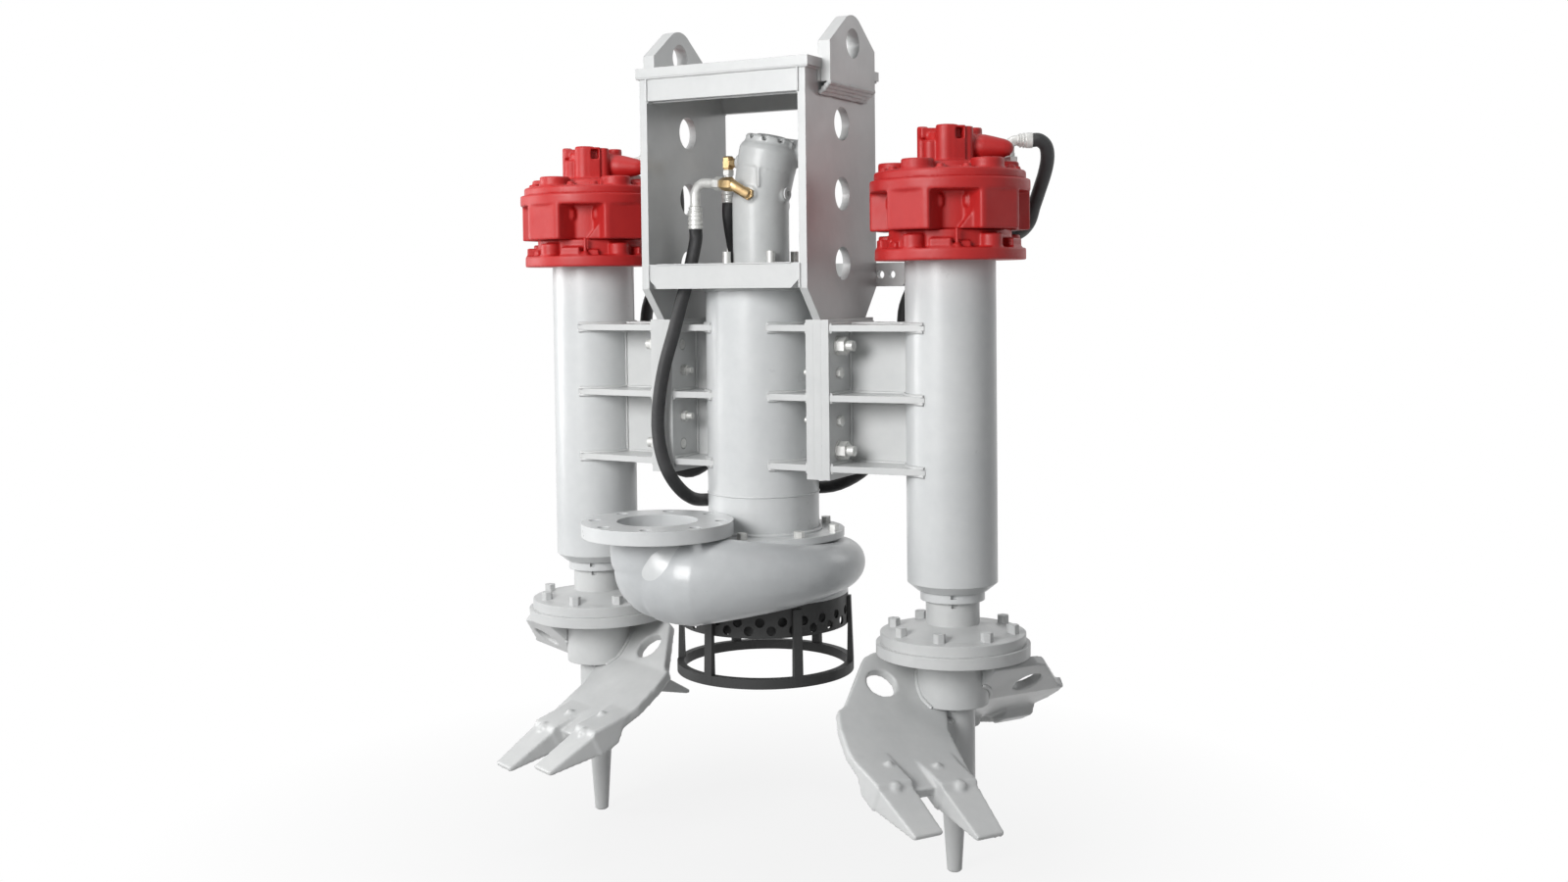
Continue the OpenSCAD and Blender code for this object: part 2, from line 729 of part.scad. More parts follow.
module pump_motor_case() paint() {
    translate([0, 0, foot_top]) cylinder(d = case_d, h = knee_z - foot_top);
    translate([0, 0, knee_z]) sphere(d = case_d);
    port_boss(front_port_a, front_port_z, 34);
    port_boss(-62, front_port_z - 30, 28);
}

module pump_motor_barrel() paint() difference() {
    union() {
        leaning() cylinder(d = case_d - 4, h = barrel_l);
        port_boss(rear_port_a, rear_port_z, 30);
    }
    translate([0, 0, knee_z]) sphere(d = case_d + 0.2);
    port_boss(front_port_a, front_port_z, 35);
    translate([0, 0, foot_top]) cylinder(d = case_d + 0.2, h = knee_z - foot_top);
}

module pump_motor_port_plate() paint() leaning() translate([0, 0, barrel_l]) {
    cylinder(d = case_d + 6, h = port_plate_t * 0.6);
    translate([-36, -30, 0]) cube([90, 60, port_plate_t]);
    for (a = [35, 145, 215, 325]) rotate([0, 0, a]) translate([case_d / 2 - 8, 0, port_plate_t * 0.6])
        cylinder(d = 15, h = 9);
}

module pump_motor_studs() zinc() motor_stud_places() {
    translate([0, 0, rail_bottom + 1]) cylinder(d = motor_stud_d, h = foot_top + motor_nut_h + 24 - rail_bottom);
    translate([0, 0, foot_top]) hex_head(24, motor_nut_h);
}

// Fittings on the pump motor and on the side motors
function port_face(a) = (case_d / 2 + 5) * [cos(a), sin(a)];
module fitting(a, z, p) {
    start = port_face(a);
    run = p - start;
    translate([start[0], start[1], z]) rotate([0, 0, atan2(run[1], run[0])]) rotate([0, 90, 0]) children();
}

module port_adaptor(a, z, p, d) {
    run_l = norm(p - port_face(a));
    fitting(a, z, p) {
        translate([0, 0, 2]) cylinder(d = d * 0.7, h = run_l - elbow_neck - 2);
        translate([0, 0, 3]) cylinder(d = d, h = min(d * 0.55, run_l - elbow_neck - 4), $fn = 6);
    }
}

module hose_adaptors() brass() {
    port_adaptor(front_port_a, front_port_z, elbow_front, 30);
    port_adaptor(rear_port_a, rear_port_z, elbow_rear, 26);
}

// A quarter bend that joins an upright tube below the origin to a level one along +X
elbow_bend = 16;
elbow_tube_r = 12;
module quarter_bend() {
    translate([elbow_bend, 0, -elbow_bend]) rotate([90, 0, 180]) rotate_extrude(angle = 90, $fn = 48)
        translate([elbow_bend, 0]) circle(r = elbow_tube_r);
}

// An elbow that turns down from a port, with the hose's ferrule below it
elbow_neck = elbow_bend + 3;
module hose_elbow(a, p, z, ferrule_end) {
    run = port_face(a) - p;
    translate([p[0], p[1], z]) rotate([0, 0, atan2(run[1], run[0])]) {
        quarter_bend();
        translate([elbow_bend, 0, 0]) rotate([0, 90, 0])
            cylinder(r = elbow_tube_r + 2, h = elbow_neck - elbow_bend);
    }
    translate([p[0], p[1], ferrule_end]) {
        cylinder(r = elbow_tube_r + 0.6, h = z - elbow_bend - ferrule_end);
        cylinder(d = hose_d + 5, h = ferrule_l - 4);
    }
}

// An elbow on a side motor's upright stem, with the hose's ferrule lying level
module motor_elbow(route, stem) {
    p = route[len(route) - 1];
    run = [p[0] - stem[0], p[1] - stem[1]];
    translate([stem[0], stem[1], cap_bottom]) {
        cylinder(r = elbow_tube_r + 0.6, h = p[2] - elbow_bend - cap_bottom);
        hex_head(30, 14);
    }
    translate([stem[0], stem[1], p[2]]) rotate([0, 0, atan2(run[1], run[0])]) {
        quarter_bend();
        translate([elbow_bend, 0, 0]) rotate([0, 90, 0])
            cylinder(d = hose_d + 5, h = norm(run) - elbow_bend);
    }
}

module hose_elbows() zinc() {
    hose_elbow(front_port_a, elbow_front, front_port_z, ROUTE_RIGHT[0][2]);
    hose_elbow(rear_port_a, elbow_rear, rear_port_z, ROUTE_LEFT[0][2]);
    motor_elbow(ROUTE_RIGHT, STEM_RIGHT);
    motor_elbow(ROUTE_LEFT, STEM_LEFT);
}

module hose_left() color("black") hose_along(ROUTE_LEFT);
module hose_right() color("black") hose_along(ROUTE_RIGHT);

// Side tubes
tube_in = tube_d / 2 - tube_wall;
module side_tube(side) {
    at_side(side) {
        tube_of(tube_d / 2, tube_in, tube_bottom, tube_top, $fn = 96);
        difference() {
            translate([0, 0, gland_top])
                cylinder(r1 = tube_d / 2 - 18, r2 = tube_d / 2, h = tube_cone_h, $fn = 96);
            translate([0, 0, gland_top - 1]) cylinder(r = 50, h = tube_cone_h + 2);
        }
    }
}

module tube_bearings(side) {
    at_side(side) {
        tube_of(tube_in, shaft_r + bearing_gap, tube_top - 60, tube_top - 24);
        tube_of(tube_in, shaft_r + bearing_gap, tube_bottom + 4, tube_bottom + 44);
    }
}

module gland_ring(side) {
    at_side(side) difference() {
        tube_of(gland_d / 2, shaft_r + bearing_gap, gland_top - gland_h, gland_top);
        for (a = [0 : 90 : 270]) rotate([0, 0, a - 66]) translate([gland_d / 2 - 7, -5, gland_top - 9])
            cube([10, 10, 8]);
    }
}

module side_tube_left() paint() side_tube(-1);
module side_tube_right() paint() side_tube(1);
module tube_bearings_left() zinc() tube_bearings(-1);
module tube_bearings_right() zinc() tube_bearings(1);
module gland_ring_left() paint() gland_ring(-1);
module gland_ring_right() paint() gland_ring(1);

// Side motors: radial piston motors with five cylinder banks
bank_n = 5;
module each_bank() {
    for (i = [0 : bank_n - 1]) rotate([0, 0, bank_turn + i * 360 / bank_n]) children();
}

module star_outline(reach) {
    intersection() {
        circle(d = motor_star_d, $fn = 96);
        union() {
            circle(r = 104);
            each_bank() translate([0, -bank_w / 2]) square([reach, bank_w]);
        }
    }
}

// Neck under a star housing, set back round the five flange bolts
module neck_outline() {
    difference() {
        circle(r = 124, $fn = 96);
        each_bank() rotate([0, 0, 8]) translate([98, -23]) square([40, 46]);
    }
}

module side_motor_flange(side) {
    at_side(side) difference() {
        union() {
            translate([0, 0, tube_top]) cylinder(d = motor_flange_d, h = motor_flange_t, $fn = 96);
            translate([0, 0, motor_flange_top]) linear_extrude(neck_h) neck_outline();
            each_bank() rotate([0, 0, 8]) translate([117, 0, motor_flange_top]) cylinder(d = 36, h = 25);
            each_bank() rotate([0, 0, 36]) translate([112, -15, motor_flange_top]) cube([22, 30, 16]);
        }
        translate([0, 0, tube_top - 1]) cylinder(r = shaft_r + bearing_gap, h = 80);
    }
}

// Sloped gusset at the lower corner of a pocket between two cylinder banks
module pocket_gusset() {
    translate([98, 44, star_bottom]) rotate([90, 0, 0]) linear_extrude(24)
        polygon([[0, 0], [24, 0], [22, 14], [4, 32], [0, 32]]);
}

module side_motor_star(side) {
    at_side(side) difference() {
        union() {
            translate([0, 0, star_bottom]) linear_extrude(star_h) star_outline(143);
            translate([0, 0, star_top]) cylinder(d = motor_star_d - 2, h = band_h, $fn = 96);
            each_bank() rotate([0, 0, 36]) {
                for (y = [-22, 22]) translate([107, y, star_top - 16]) {
                    cylinder(d = 17, h = 17);
                    translate([0, 0, -6]) cylinder(r1 = 4, r2 = 8.5, h = 6);
                }
                pocket_gusset();
            }
        }
        translate([0, 0, star_bottom - 1]) cylinder(r = shaft_r + spin_gap, h = motor_shaft_top - star_bottom + 3);
    }
}

module side_motor_cap(side) {
    at_side(side) {
        translate([0, 0, lid_bottom]) cylinder(d = motor_star_d - 16, h = lid_h, $fn = 96);
        translate([0, 0, lid_bottom + lid_h]) intersection() {
            cylinder(d = motor_star_d - 22, h = boss_h, $fn = 96);
            each_bank() translate([60, -bank_w / 2 + 8, 0]) cube([90, bank_w - 16, boss_h]);
        }
        translate([0, 0, lid_bottom + lid_h]) cylinder(d = cap_d + 22, h = boss_h);
        for (i = [0 : 9]) rotate([0, 0, bank_turn + 36 * i + 14])
            translate([motor_star_d / 2 - 28, 0, lid_top]) hex_head(14, 8);
        translate([0, 0, cap_bottom]) cylinder(d = cap_d - 14, h = cap_h - 5);
        for (a = [-100, -62, 30, 75, 120]) rotate([0, 0, a])
            translate([cap_d / 2 - 16, 0, cap_bottom]) cylinder(d = 26, h = cap_h);
        rotate([0, 0, cap_turn]) {
            difference() {
                translate([0, -27, cap_bottom]) cube([cap_d / 2 + 4, 54, cap_h - 2]);
                translate([20, -14, cap_top - 17]) cube([28, 60, 20]);
            }
            translate([18, -44, cap_bottom]) cube([22, 20, cap_h - 9]);
        }
        translate([0, 0, cap_bottom + 27]) rotate([0, 90, 18]) {
            cylinder(d = 46, h = cap_d / 2 + 12);
            translate([0, 0, cap_d / 2 + 12]) cylinder(d1 = 46, d2 = 32, h = 34);
            translate([0, 0, cap_d / 2 + 46]) cylinder(d1 = 32, d2 = 12, h = 14);
        }
    }
}

module side_motor_flange_left() red() side_motor_flange(-1);
module side_motor_flange_right() red() side_motor_flange(1);
module side_motor_star_left() red() side_motor_star(-1);
module side_motor_star_right() red() side_motor_star(1);
module side_motor_cap_left() red() side_motor_cap(-1);
module side_motor_cap_right() red() side_motor_cap(1);

// Cutters
module cutter_shaft(side) {
    at_side(side) translate([0, 0, hub_top - 10])
        cylinder(r = shaft_r, h = motor_shaft_top - hub_top + 10);
}

cover_bolt_n = 8;
cover_pcd = cover_d - 46;
module cover_bolt_places() {
    for (i = [0 : cover_bolt_n - 1])
        rotate([0, 0, i * 360 / cover_bolt_n + 10]) translate([cover_pcd / 2, 0, 0]) children();
}

module cutter_cover(side) {
    at_side(side) difference() {
        union() {
            rotate_extrude($fn = 96) polygon([[0, hub_top], [cover_d / 2, hub_top],
                [cover_d / 2, cover_top + 1], [cover_d / 2 - 2, cover_top + 2],
                [cover_pcd / 2, cover_top + 4], [collar_d / 2 + 16, cover_top + cover_rise - 2],
                [collar_d / 2, cover_top + cover_rise + 2], [collar_d / 2, collar_top],
                [0, collar_top]]);
            cover_bolt_places() translate([0, 0, cover_top]) hex_head(20, 20);
        }
        translate([0, 0, hub_top - 1]) cylinder(r = shaft_r, h = collar_top - hub_top + 2);
        rotate([0, 0, -64]) translate([collar_d / 2 - 5, -5, collar_top - 9]) cube([8, 10, 10]);
    }
}

module cutter_hub(side) {
    at_side(side) {
        difference() {
            translate([0, 0, hub_top - hub_flange_t]) cylinder(d = hub_flange_d, h = hub_flange_t, $fn = 96);
            translate([0, 0, hub_top - 10]) cylinder(r = shaft_r, h = 20);
        }
        translate([0, 0, hub_bottom]) cylinder(d = hub_d, h = hub_l);
        translate([0, 0, pilot_bottom]) cylinder(d = pilot_d, h = pilot_l);
        translate([0, 0, spike_bottom + 3]) cylinder(r1 = 14, r2 = 25, h = spike_l - 3);
        translate([0, 0, spike_bottom]) cylinder(r1 = 11, r2 = 14, h = 3);
    }
}

// A blade is a level-edged plate on a slope, with its ear bent up to a steeper one.
// Its points are measured down the slope from the fold, and across from the axis.
module blade_frame(slope) {
    translate([fold_u * cos(blade_turn), fold_u * sin(blade_turn), fold_z])
        rotate([0, 0, blade_turn]) rotate([0, slope, 0]) children();
}

tooth_rise = 14;
TEETH = [[118, 314, -283, -212, -268, -211], [143, 342, -168, -94, -160, -105]];
module tooth(t) {
    wedge_end = t[0] + 92;
    translate([0, t[3], 0]) rotate([90, 0, 0]) linear_extrude(t[3] - t[2])
        polygon([[t[0], 0], [wedge_end - 8, tooth_rise], [wedge_end, tooth_rise - 4],
            [wedge_end, -blade_t - 18], [t[0] + 50, -blade_t - 18], [t[0] + 20, -blade_t / 2]]);
    hull() {
        translate([wedge_end - 1, t[2] + 2, -blade_t - 15]) cube([1, t[3] - t[2] - 4, tooth_rise + blade_t + 9]);
        translate([t[1] - 3, t[4], -10]) cube([3, t[5] - t[4], 9]);
    }
}

module blade_ear() {
    translate([0, 0, -blade_t]) linear_extrude(blade_t) difference() {
        polygon([[2, -248], [-12, -226], [-105, -143], [-113, -118], [-113, -20], [2, -20]]);
        translate([-44, -133]) circle(d = blade_eye_d);
    }
}

module blade_plate() {
    translate([0, 0, -blade_t]) linear_extrude(blade_t)
        polygon([[-5, -245], [40, -265], [100, -281], [150, -282], [218, -278], [218, -88],
            [90, -62], [40, -35], [-5, -20]]);
}

module blade_pair() {
    difference() {
        for (a = [0, 180]) rotate([0, 0, a]) {
            blade_frame(ear_tilt) blade_ear();
            blade_frame(blade_tilt) {
                blade_plate();
                for (t = TEETH) tooth(t);
            }
        }
        translate([0, 0, hub_top - hub_flange_t]) cylinder(d = hub_flange_d + 40, h = 60);
        translate([0, 0, hub_bottom]) cylinder(d = hub_d, h = hub_l + 1);
        translate([0, 0, pilot_bottom]) cylinder(d = pilot_d, h = pilot_l + 1);
        translate([0, 0, spike_bottom]) cylinder(r = 26, h = spike_l + 1);
    }
}

module cutter_blades(side) {
    if (side > 0) at_side(1) blade_pair();
    else at_side(-1) mirror([1, 0, 0]) rotate([0, 0, left_phase]) blade_pair();
}

module cutter_shaft_left() zinc() cutter_shaft(-1);
module cutter_shaft_right() zinc() cutter_shaft(1);
module cutter_cover_left() paint() cutter_cover(-1);
module cutter_cover_right() paint() cutter_cover(1);
module cutter_hub_left() paint() cutter_hub(-1);
module cutter_hub_right() paint() cutter_hub(1);
module cutter_blades_left() paint() cutter_blades(-1);
module cutter_blades_right() paint() cutter_blades(1);

hanger_side_plate_left();
hanger_side_plate_right();
hanger_top_plate();
hanger_header_front();
hanger_header_rear();
hanger_floor_plate();
floor_rail_front();
floor_rail_rear();
lifting_lug_left();
lifting_lug_right();
arm_inner_left();
arm_inner_right();
arm_outer_left();
arm_outer_right();
arm_bolts_left();
arm_bolts_right();
arm_nuts_left();
arm_nuts_right();
pump_column();
column_bearing_upper();
column_bearing_lower();
seal_housing();
shaft_seal();
casing_bolts();
volute_casing();
discharge_elbow();
suction_plate();
strainer_skirt();
strainer_cage();
pump_motor_foot();
pump_motor_case();
pump_motor_barrel();
pump_motor_port_plate();
pump_motor_studs();
hose_adaptors();
hose_elbows();
hose_left();
hose_right();
side_tube_left();
side_tube_right();
tube_bearings_left();
tube_bearings_right();
gland_ring_left();
gland_ring_right();
side_motor_flange_left();
side_motor_flange_right();
side_motor_star_left();
side_motor_star_right();
side_motor_cap_left();
side_motor_cap_right();
pump_shaft();
impeller();
cutter_shaft_left();
cutter_shaft_right();
cutter_cover_left();
cutter_cover_right();
cutter_hub_left();
cutter_hub_right();
cutter_blades_left();
cutter_blades_right();
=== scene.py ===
"""Dresses the dredge pump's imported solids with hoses, smooth castings, welds, fittings and finishes."""

import json
import logging
import math
from dataclasses import dataclass, field
from enum import Enum

import bmesh
import bpy
from mathutils import Matrix, Vector, noise


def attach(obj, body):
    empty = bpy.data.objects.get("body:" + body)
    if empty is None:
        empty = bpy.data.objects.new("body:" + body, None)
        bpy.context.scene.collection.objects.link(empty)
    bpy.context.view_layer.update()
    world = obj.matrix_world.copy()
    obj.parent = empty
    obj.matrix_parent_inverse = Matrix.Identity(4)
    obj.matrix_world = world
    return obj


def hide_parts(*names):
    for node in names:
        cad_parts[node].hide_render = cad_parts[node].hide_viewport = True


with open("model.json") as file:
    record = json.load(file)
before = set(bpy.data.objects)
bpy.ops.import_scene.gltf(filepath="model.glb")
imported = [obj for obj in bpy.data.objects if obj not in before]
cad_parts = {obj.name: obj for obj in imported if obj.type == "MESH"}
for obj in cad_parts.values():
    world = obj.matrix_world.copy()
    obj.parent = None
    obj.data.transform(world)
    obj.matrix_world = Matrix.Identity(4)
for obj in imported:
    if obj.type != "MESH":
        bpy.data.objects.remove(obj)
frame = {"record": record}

Trio = tuple[float, float, float]
Colour = Trio
Spot = Trio
Profile = list[tuple[float, float]] | tuple[tuple[float, float], ...]
Points = list[Vector]
Shape = bmesh.types.BMesh
Socket = bpy.types.NodeSocket

LOG = logging.getLogger("dredge_pump")
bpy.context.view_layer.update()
HANGER = "hanger"
MM = 0.001
UP = Vector((0.0, 0.0, 1.0))
WHITE = (1.0, 1.0, 1.0, 1.0)

# Places and sizes that the dressing shares with the solids, in millimetres
SIDE_X = 400.0
SIDE_TUBE_R = 84.15
COLUMN_R = 109.55
COLUMN_TOP_Z = -461.0
COLUMN_BOTTOM_Z = -861.0
SEAL_FLANGE_Z = -936.0
CASING_Z = -998.0
DISCHARGE_X = -96.0
DISCHARGE_Y = -238.0
SIDE_PORT_Z = -279.0
REAR_PORT_Z = -213.0


class Side(Enum):
    """The two cutter units, named as the viewer in front sees them."""

    LEFT = "left"
    RIGHT = "right"

    @property
    def sign(self) -> int:
        """Direction of this side along X."""
        return 1 if self is Side.RIGHT else -1


class Graph:
    """The node tree of a material or the world, with short calls for the nodes that the finishes share."""

    bevel_samples = 6
    flat_cosine = 0.985
    sharp_cosine = 0.80

    def __init__(self, name: str, world: bool = False) -> None:
        """Starts an empty tree.

        Args:
            name: the name of the material or the world.
            world: whether it is the world's tree.
        """
        self.owner = (bpy.data.worlds if world else bpy.data.materials).new(name)
        self.owner.use_nodes = True
        self.tree = self.owner.node_tree
        self.tree.nodes.clear()
        self.output = self.node("ShaderNodeOutputWorld" if world else "ShaderNodeOutputMaterial")
        self.place = None if world else self.node("ShaderNodeTexCoord").outputs["Object"]

    def node(self, kind: str, sockets: dict[str | int, object] | None = None,
             **values: object) -> bpy.types.Node:
        """Adds a node.

        Args:
            kind: the node's type.
            sockets: its inputs by name or number, and what each gets.
            values: attributes to set on it first.

        Returns:
            The new node.
        """
        made = self.tree.nodes.new(kind)
        for key, value in values.items():
            setattr(made, key, value)
        for key, value in (sockets or {}).items():
            self.feed(value, made.inputs[key])
        return made

    def feed(self, value: object, socket: Socket) -> None:
        """Sets a socket from a number, a colour or another socket.

        Args:
            value: what the socket gets.
            socket: the input.
        """
        if isinstance(value, Socket):
            self.tree.links.new(value, socket)
        else:
            socket.default_value = value

    def noise(self, scale: float, detail: float = 4.0, rough: float = 0.55,
              stretch: Spot = (1.0, 1.0, 1.0)) -> Socket:
        """Gives a noise value.

        Args:
            scale: features in each metre.
            detail: octaves.
            rough: weight of the finer octaves.
            stretch: factors along the axes.

        Returns:
            The noise's value socket.
        """
        mapping = self.node("ShaderNodeMapping", {"Scale": stretch, "Vector": self.place})
        made = self.node("ShaderNodeTexNoise", {"Scale": scale, "Detail": detail, "Roughness": rough,
                                                "Vector": mapping.outputs["Vector"]})
        return made.outputs["Fac"]

    def ramp(self, source: Socket, low: float, high: float, start: float = 0.0, end: float = 1.0) -> Socket:
        """Maps a range of a value to another range, clamped.

        Args:
            source: the value.
            low: the value that gives start.
            high: the value that gives end.
            start: result at low.
            end: result at high.

        Returns:
            The mapped value.
        """
        made = self.node("ShaderNodeMapRange", {"Value": source, "From Min": low, "From Max": high,
                                                "To Min": start, "To Max": end}, clamp=True)
        return made.outputs["Result"]

    def math(self, operation: str, a: object, b: object) -> Socket:
        """Combines two values.

        Args:
            operation: the math node's operation.
            a: first number or socket.
            b: second number or socket.

        Returns:
            The result.
        """
        return self.node("ShaderNodeMath", {0: a, 1: b}, operation=operation).outputs[0]

    def blend(self, amount: Socket, first: Socket | Colour, second: Socket | Colour) -> Socket:
        """Mixes two colours.

        Args:
            amount: share of the second.
            first: colour or socket.
            second: colour or socket.

        Returns:
            The mixed colour.
        """
        a, b = (c if isinstance(c, Socket) else (*c, 1.0) for c in (first, second))
        made = self.node("ShaderNodeMix", {"Factor": amount, "A": a, "B": b}, data_type="RGBA")
        return made.outputs["Result"]

    def rounded(self, radius: float) -> Socket:
        """Gives a normal that is rounded over edges.

        Args:
            radius: radius of the rounding, in metres.

        Returns:
            The normal.
        """
        return self.node("ShaderNodeBevel", {"Radius": radius}, samples=self.bevel_samples).outputs["Normal"]

    def edge(self, radius: float) -> Socket:
        """Gives 0 on flats and 1 on sharp edges.

        Args:
            radius: reach of the edge zone, in metres.

        Returns:
            The edge value.
        """
        plain = self.node("ShaderNodeNewGeometry").outputs["Normal"]
        dot = self.node("ShaderNodeVectorMath", {0: self.rounded(radius), 1: plain}, operation="DOT_PRODUCT")
        return self.ramp(dot.outputs["Value"], self.flat_cosine, self.sharp_cosine)

    def bump(self, height: Socket, distance: float, strength: float, under: Socket | None = None) -> Socket:
        """Gives a bumped normal.

        Args:
            height: the height value.
            distance: depth of the bump, in metres.
            strength: share of the bump.
            under: the normal below this one, if it isn't the plain one.

        Returns:
            The normal.
        """
        sockets = {"Strength": strength, "Distance": distance, "Height": height}
        if under is not None:
            sockets["Normal"] = under
        return self.node("ShaderNodeBump", sockets).outputs["Normal"]

    def seen(self) -> Socket:
        """Gives 1 for what the camera sees, straight, in a reflection or through glass, and else 0."""
        path = self.node("ShaderNodeLightPath").outputs
        either = self.math("MAXIMUM", path["Is Camera Ray"], path["Is Glossy Ray"])
        return self.math("MAXIMUM", either, path["Is Transmission Ray"])

    def shader(self, **values: object) -> None:
        """Ends the tree in a surface shader.

        Args:
            values: input names, with underscores for spaces, and what each gets.
        """
        sockets = {key.replace("_", " "): value for key, value in values.items()}
        self.feed(self.node("ShaderNodeBsdfPrincipled", sockets).outputs[0], self.output.inputs["Surface"])

    def mix(self, share: Socket, first: bpy.types.Node, second: bpy.types.Node) -> None:
        """Ends the tree in a mix of two shaders.

        Args:
            share: share of the second.
            first: shader node.
            second: shader node.
        """
        mixed = self.node("ShaderNodeMixShader", {0: share, 1: first.outputs[0], 2: second.outputs[0]})
        self.feed(mixed.outputs[0], self.output.inputs["Surface"])


@dataclass(frozen=True)
class Paint:
    """Sprayed paint over steel or iron, with slight waves, specks of dust and worn edges."""

    name: str
    colour: Colour
    shade: Colour
    rough: float = 0.3
    grain: float = 0.0
    dust: float = 0.25
    bevel: float = 0.0012
    wear: Colour = (0.30, 0.30, 0.29)
    coat: float = 0.25
    wave: float = 0.001
    fine: float = 0.00004

    def build(self) -> bpy.types.Material:
        """Makes the material.

        Returns:
            The material.
        """
        g = Graph(self.name)
        mottle = g.math("MULTIPLY", g.noise(46.0, 4.0, 0.6), 0.35)
        tone = g.ramp(g.math("ADD", g.noise(5.0, 5.0, 0.6), mottle), 0.42, 0.98)
        chips = g.math("MULTIPLY", g.ramp(g.noise(120.0, 6.0, 0.7), 0.56, 0.66), 0.55)
        specks = g.ramp(g.noise(330.0, 3.0, 0.7), 0.70, 0.78, 0.0, self.dust)
        base = g.blend(tone, self.shade, self.colour)
        base = g.blend(g.math("MULTIPLY", g.edge(self.bevel * 1.7), chips), base, self.wear)
        base = g.blend(specks, base, tuple(0.55 * part for part in self.shade))
        normal = g.bump(g.noise(38.0, 2.0, 0.4), self.wave, 0.5, g.rounded(self.bevel))
        if self.grain:
            normal = g.bump(g.noise(520.0, 6.0, 0.65), self.grain, 0.6, normal)
        normal = g.bump(g.noise(900.0, 3.0, 0.5), self.fine, 0.4, normal)
        rough = g.ramp(g.noise(18.0, 5.0, 0.65), 0.3, 0.75, self.rough, self.rough + 0.16)
        g.shader(Base_Color=base, Roughness=rough, Normal=normal, Coat_Weight=self.coat,
                 Coat_Roughness=0.2, IOR=1.5)
        return g.owner


@dataclass(frozen=True)
class Metal:
    """Bare or plated metal with stains and small scratches."""

    name: str
    colour: Colour
    stain: Colour
    rough: float = 0.3
    lathe_marks: bool = False
    metallic: float = 1.0
    bevel: float = 0.0006
    scratch: float = 0.00005

    def build(self) -> bpy.types.Material:
        """Makes the material.

        Returns:
            The material.
        """
        g = Graph(self.name)
        base = g.blend(g.ramp(g.noise(60.0, 5.0, 0.6), 0.45, 0.72), self.colour, self.stain)
        rough = g.ramp(g.noise(140.0, 4.0, 0.6), 0.3, 0.8, self.rough, self.rough + 0.22)
        lines = g.noise(1400.0, 2.0, 0.5, (0.05, 0.05, 1.0) if self.lathe_marks else (1.0, 1.0, 1.0))
        normal = g.bump(lines, self.scratch, 0.6, g.rounded(self.bevel))
        g.shader(Base_Color=base, Roughness=rough, Metallic=self.metallic, Normal=normal)
        return g.owner


@dataclass(frozen=True)
class Rubber:
    """Wrapped black hose rubber with a fine cloth weave and pale scuffs."""

    name: str
    colour: Colour
    scuff: Colour
    weave: float = 0.0004
    grain: float = 0.0001

    def build(self) -> bpy.types.Material:
        """Makes the material.

        Returns:
            The material.
        """
        g = Graph(self.name)
        base = g.blend(g.ramp(g.noise(14.0, 5.0, 0.7), 0.5, 0.8, 0.0, 0.5), self.colour, self.scuff)
        bands = g.node("ShaderNodeTexWave", {"Scale": 330.0, "Distortion": 1.5, "Vector": g.place},
                       wave_type="BANDS", bands_direction="DIAGONAL")
        normal = g.bump(bands.outputs["Fac"], self.weave, 0.5)
        normal = g.bump(g.noise(500.0, 3.0, 0.6), self.grain, 0.5, normal)
        rough = g.ramp(g.noise(40.0, 4.0, 0.6), 0.3, 0.7, 0.42, 0.6)
        g.shader(Base_Color=base, Roughness=rough, Normal=normal)
        return g.owner


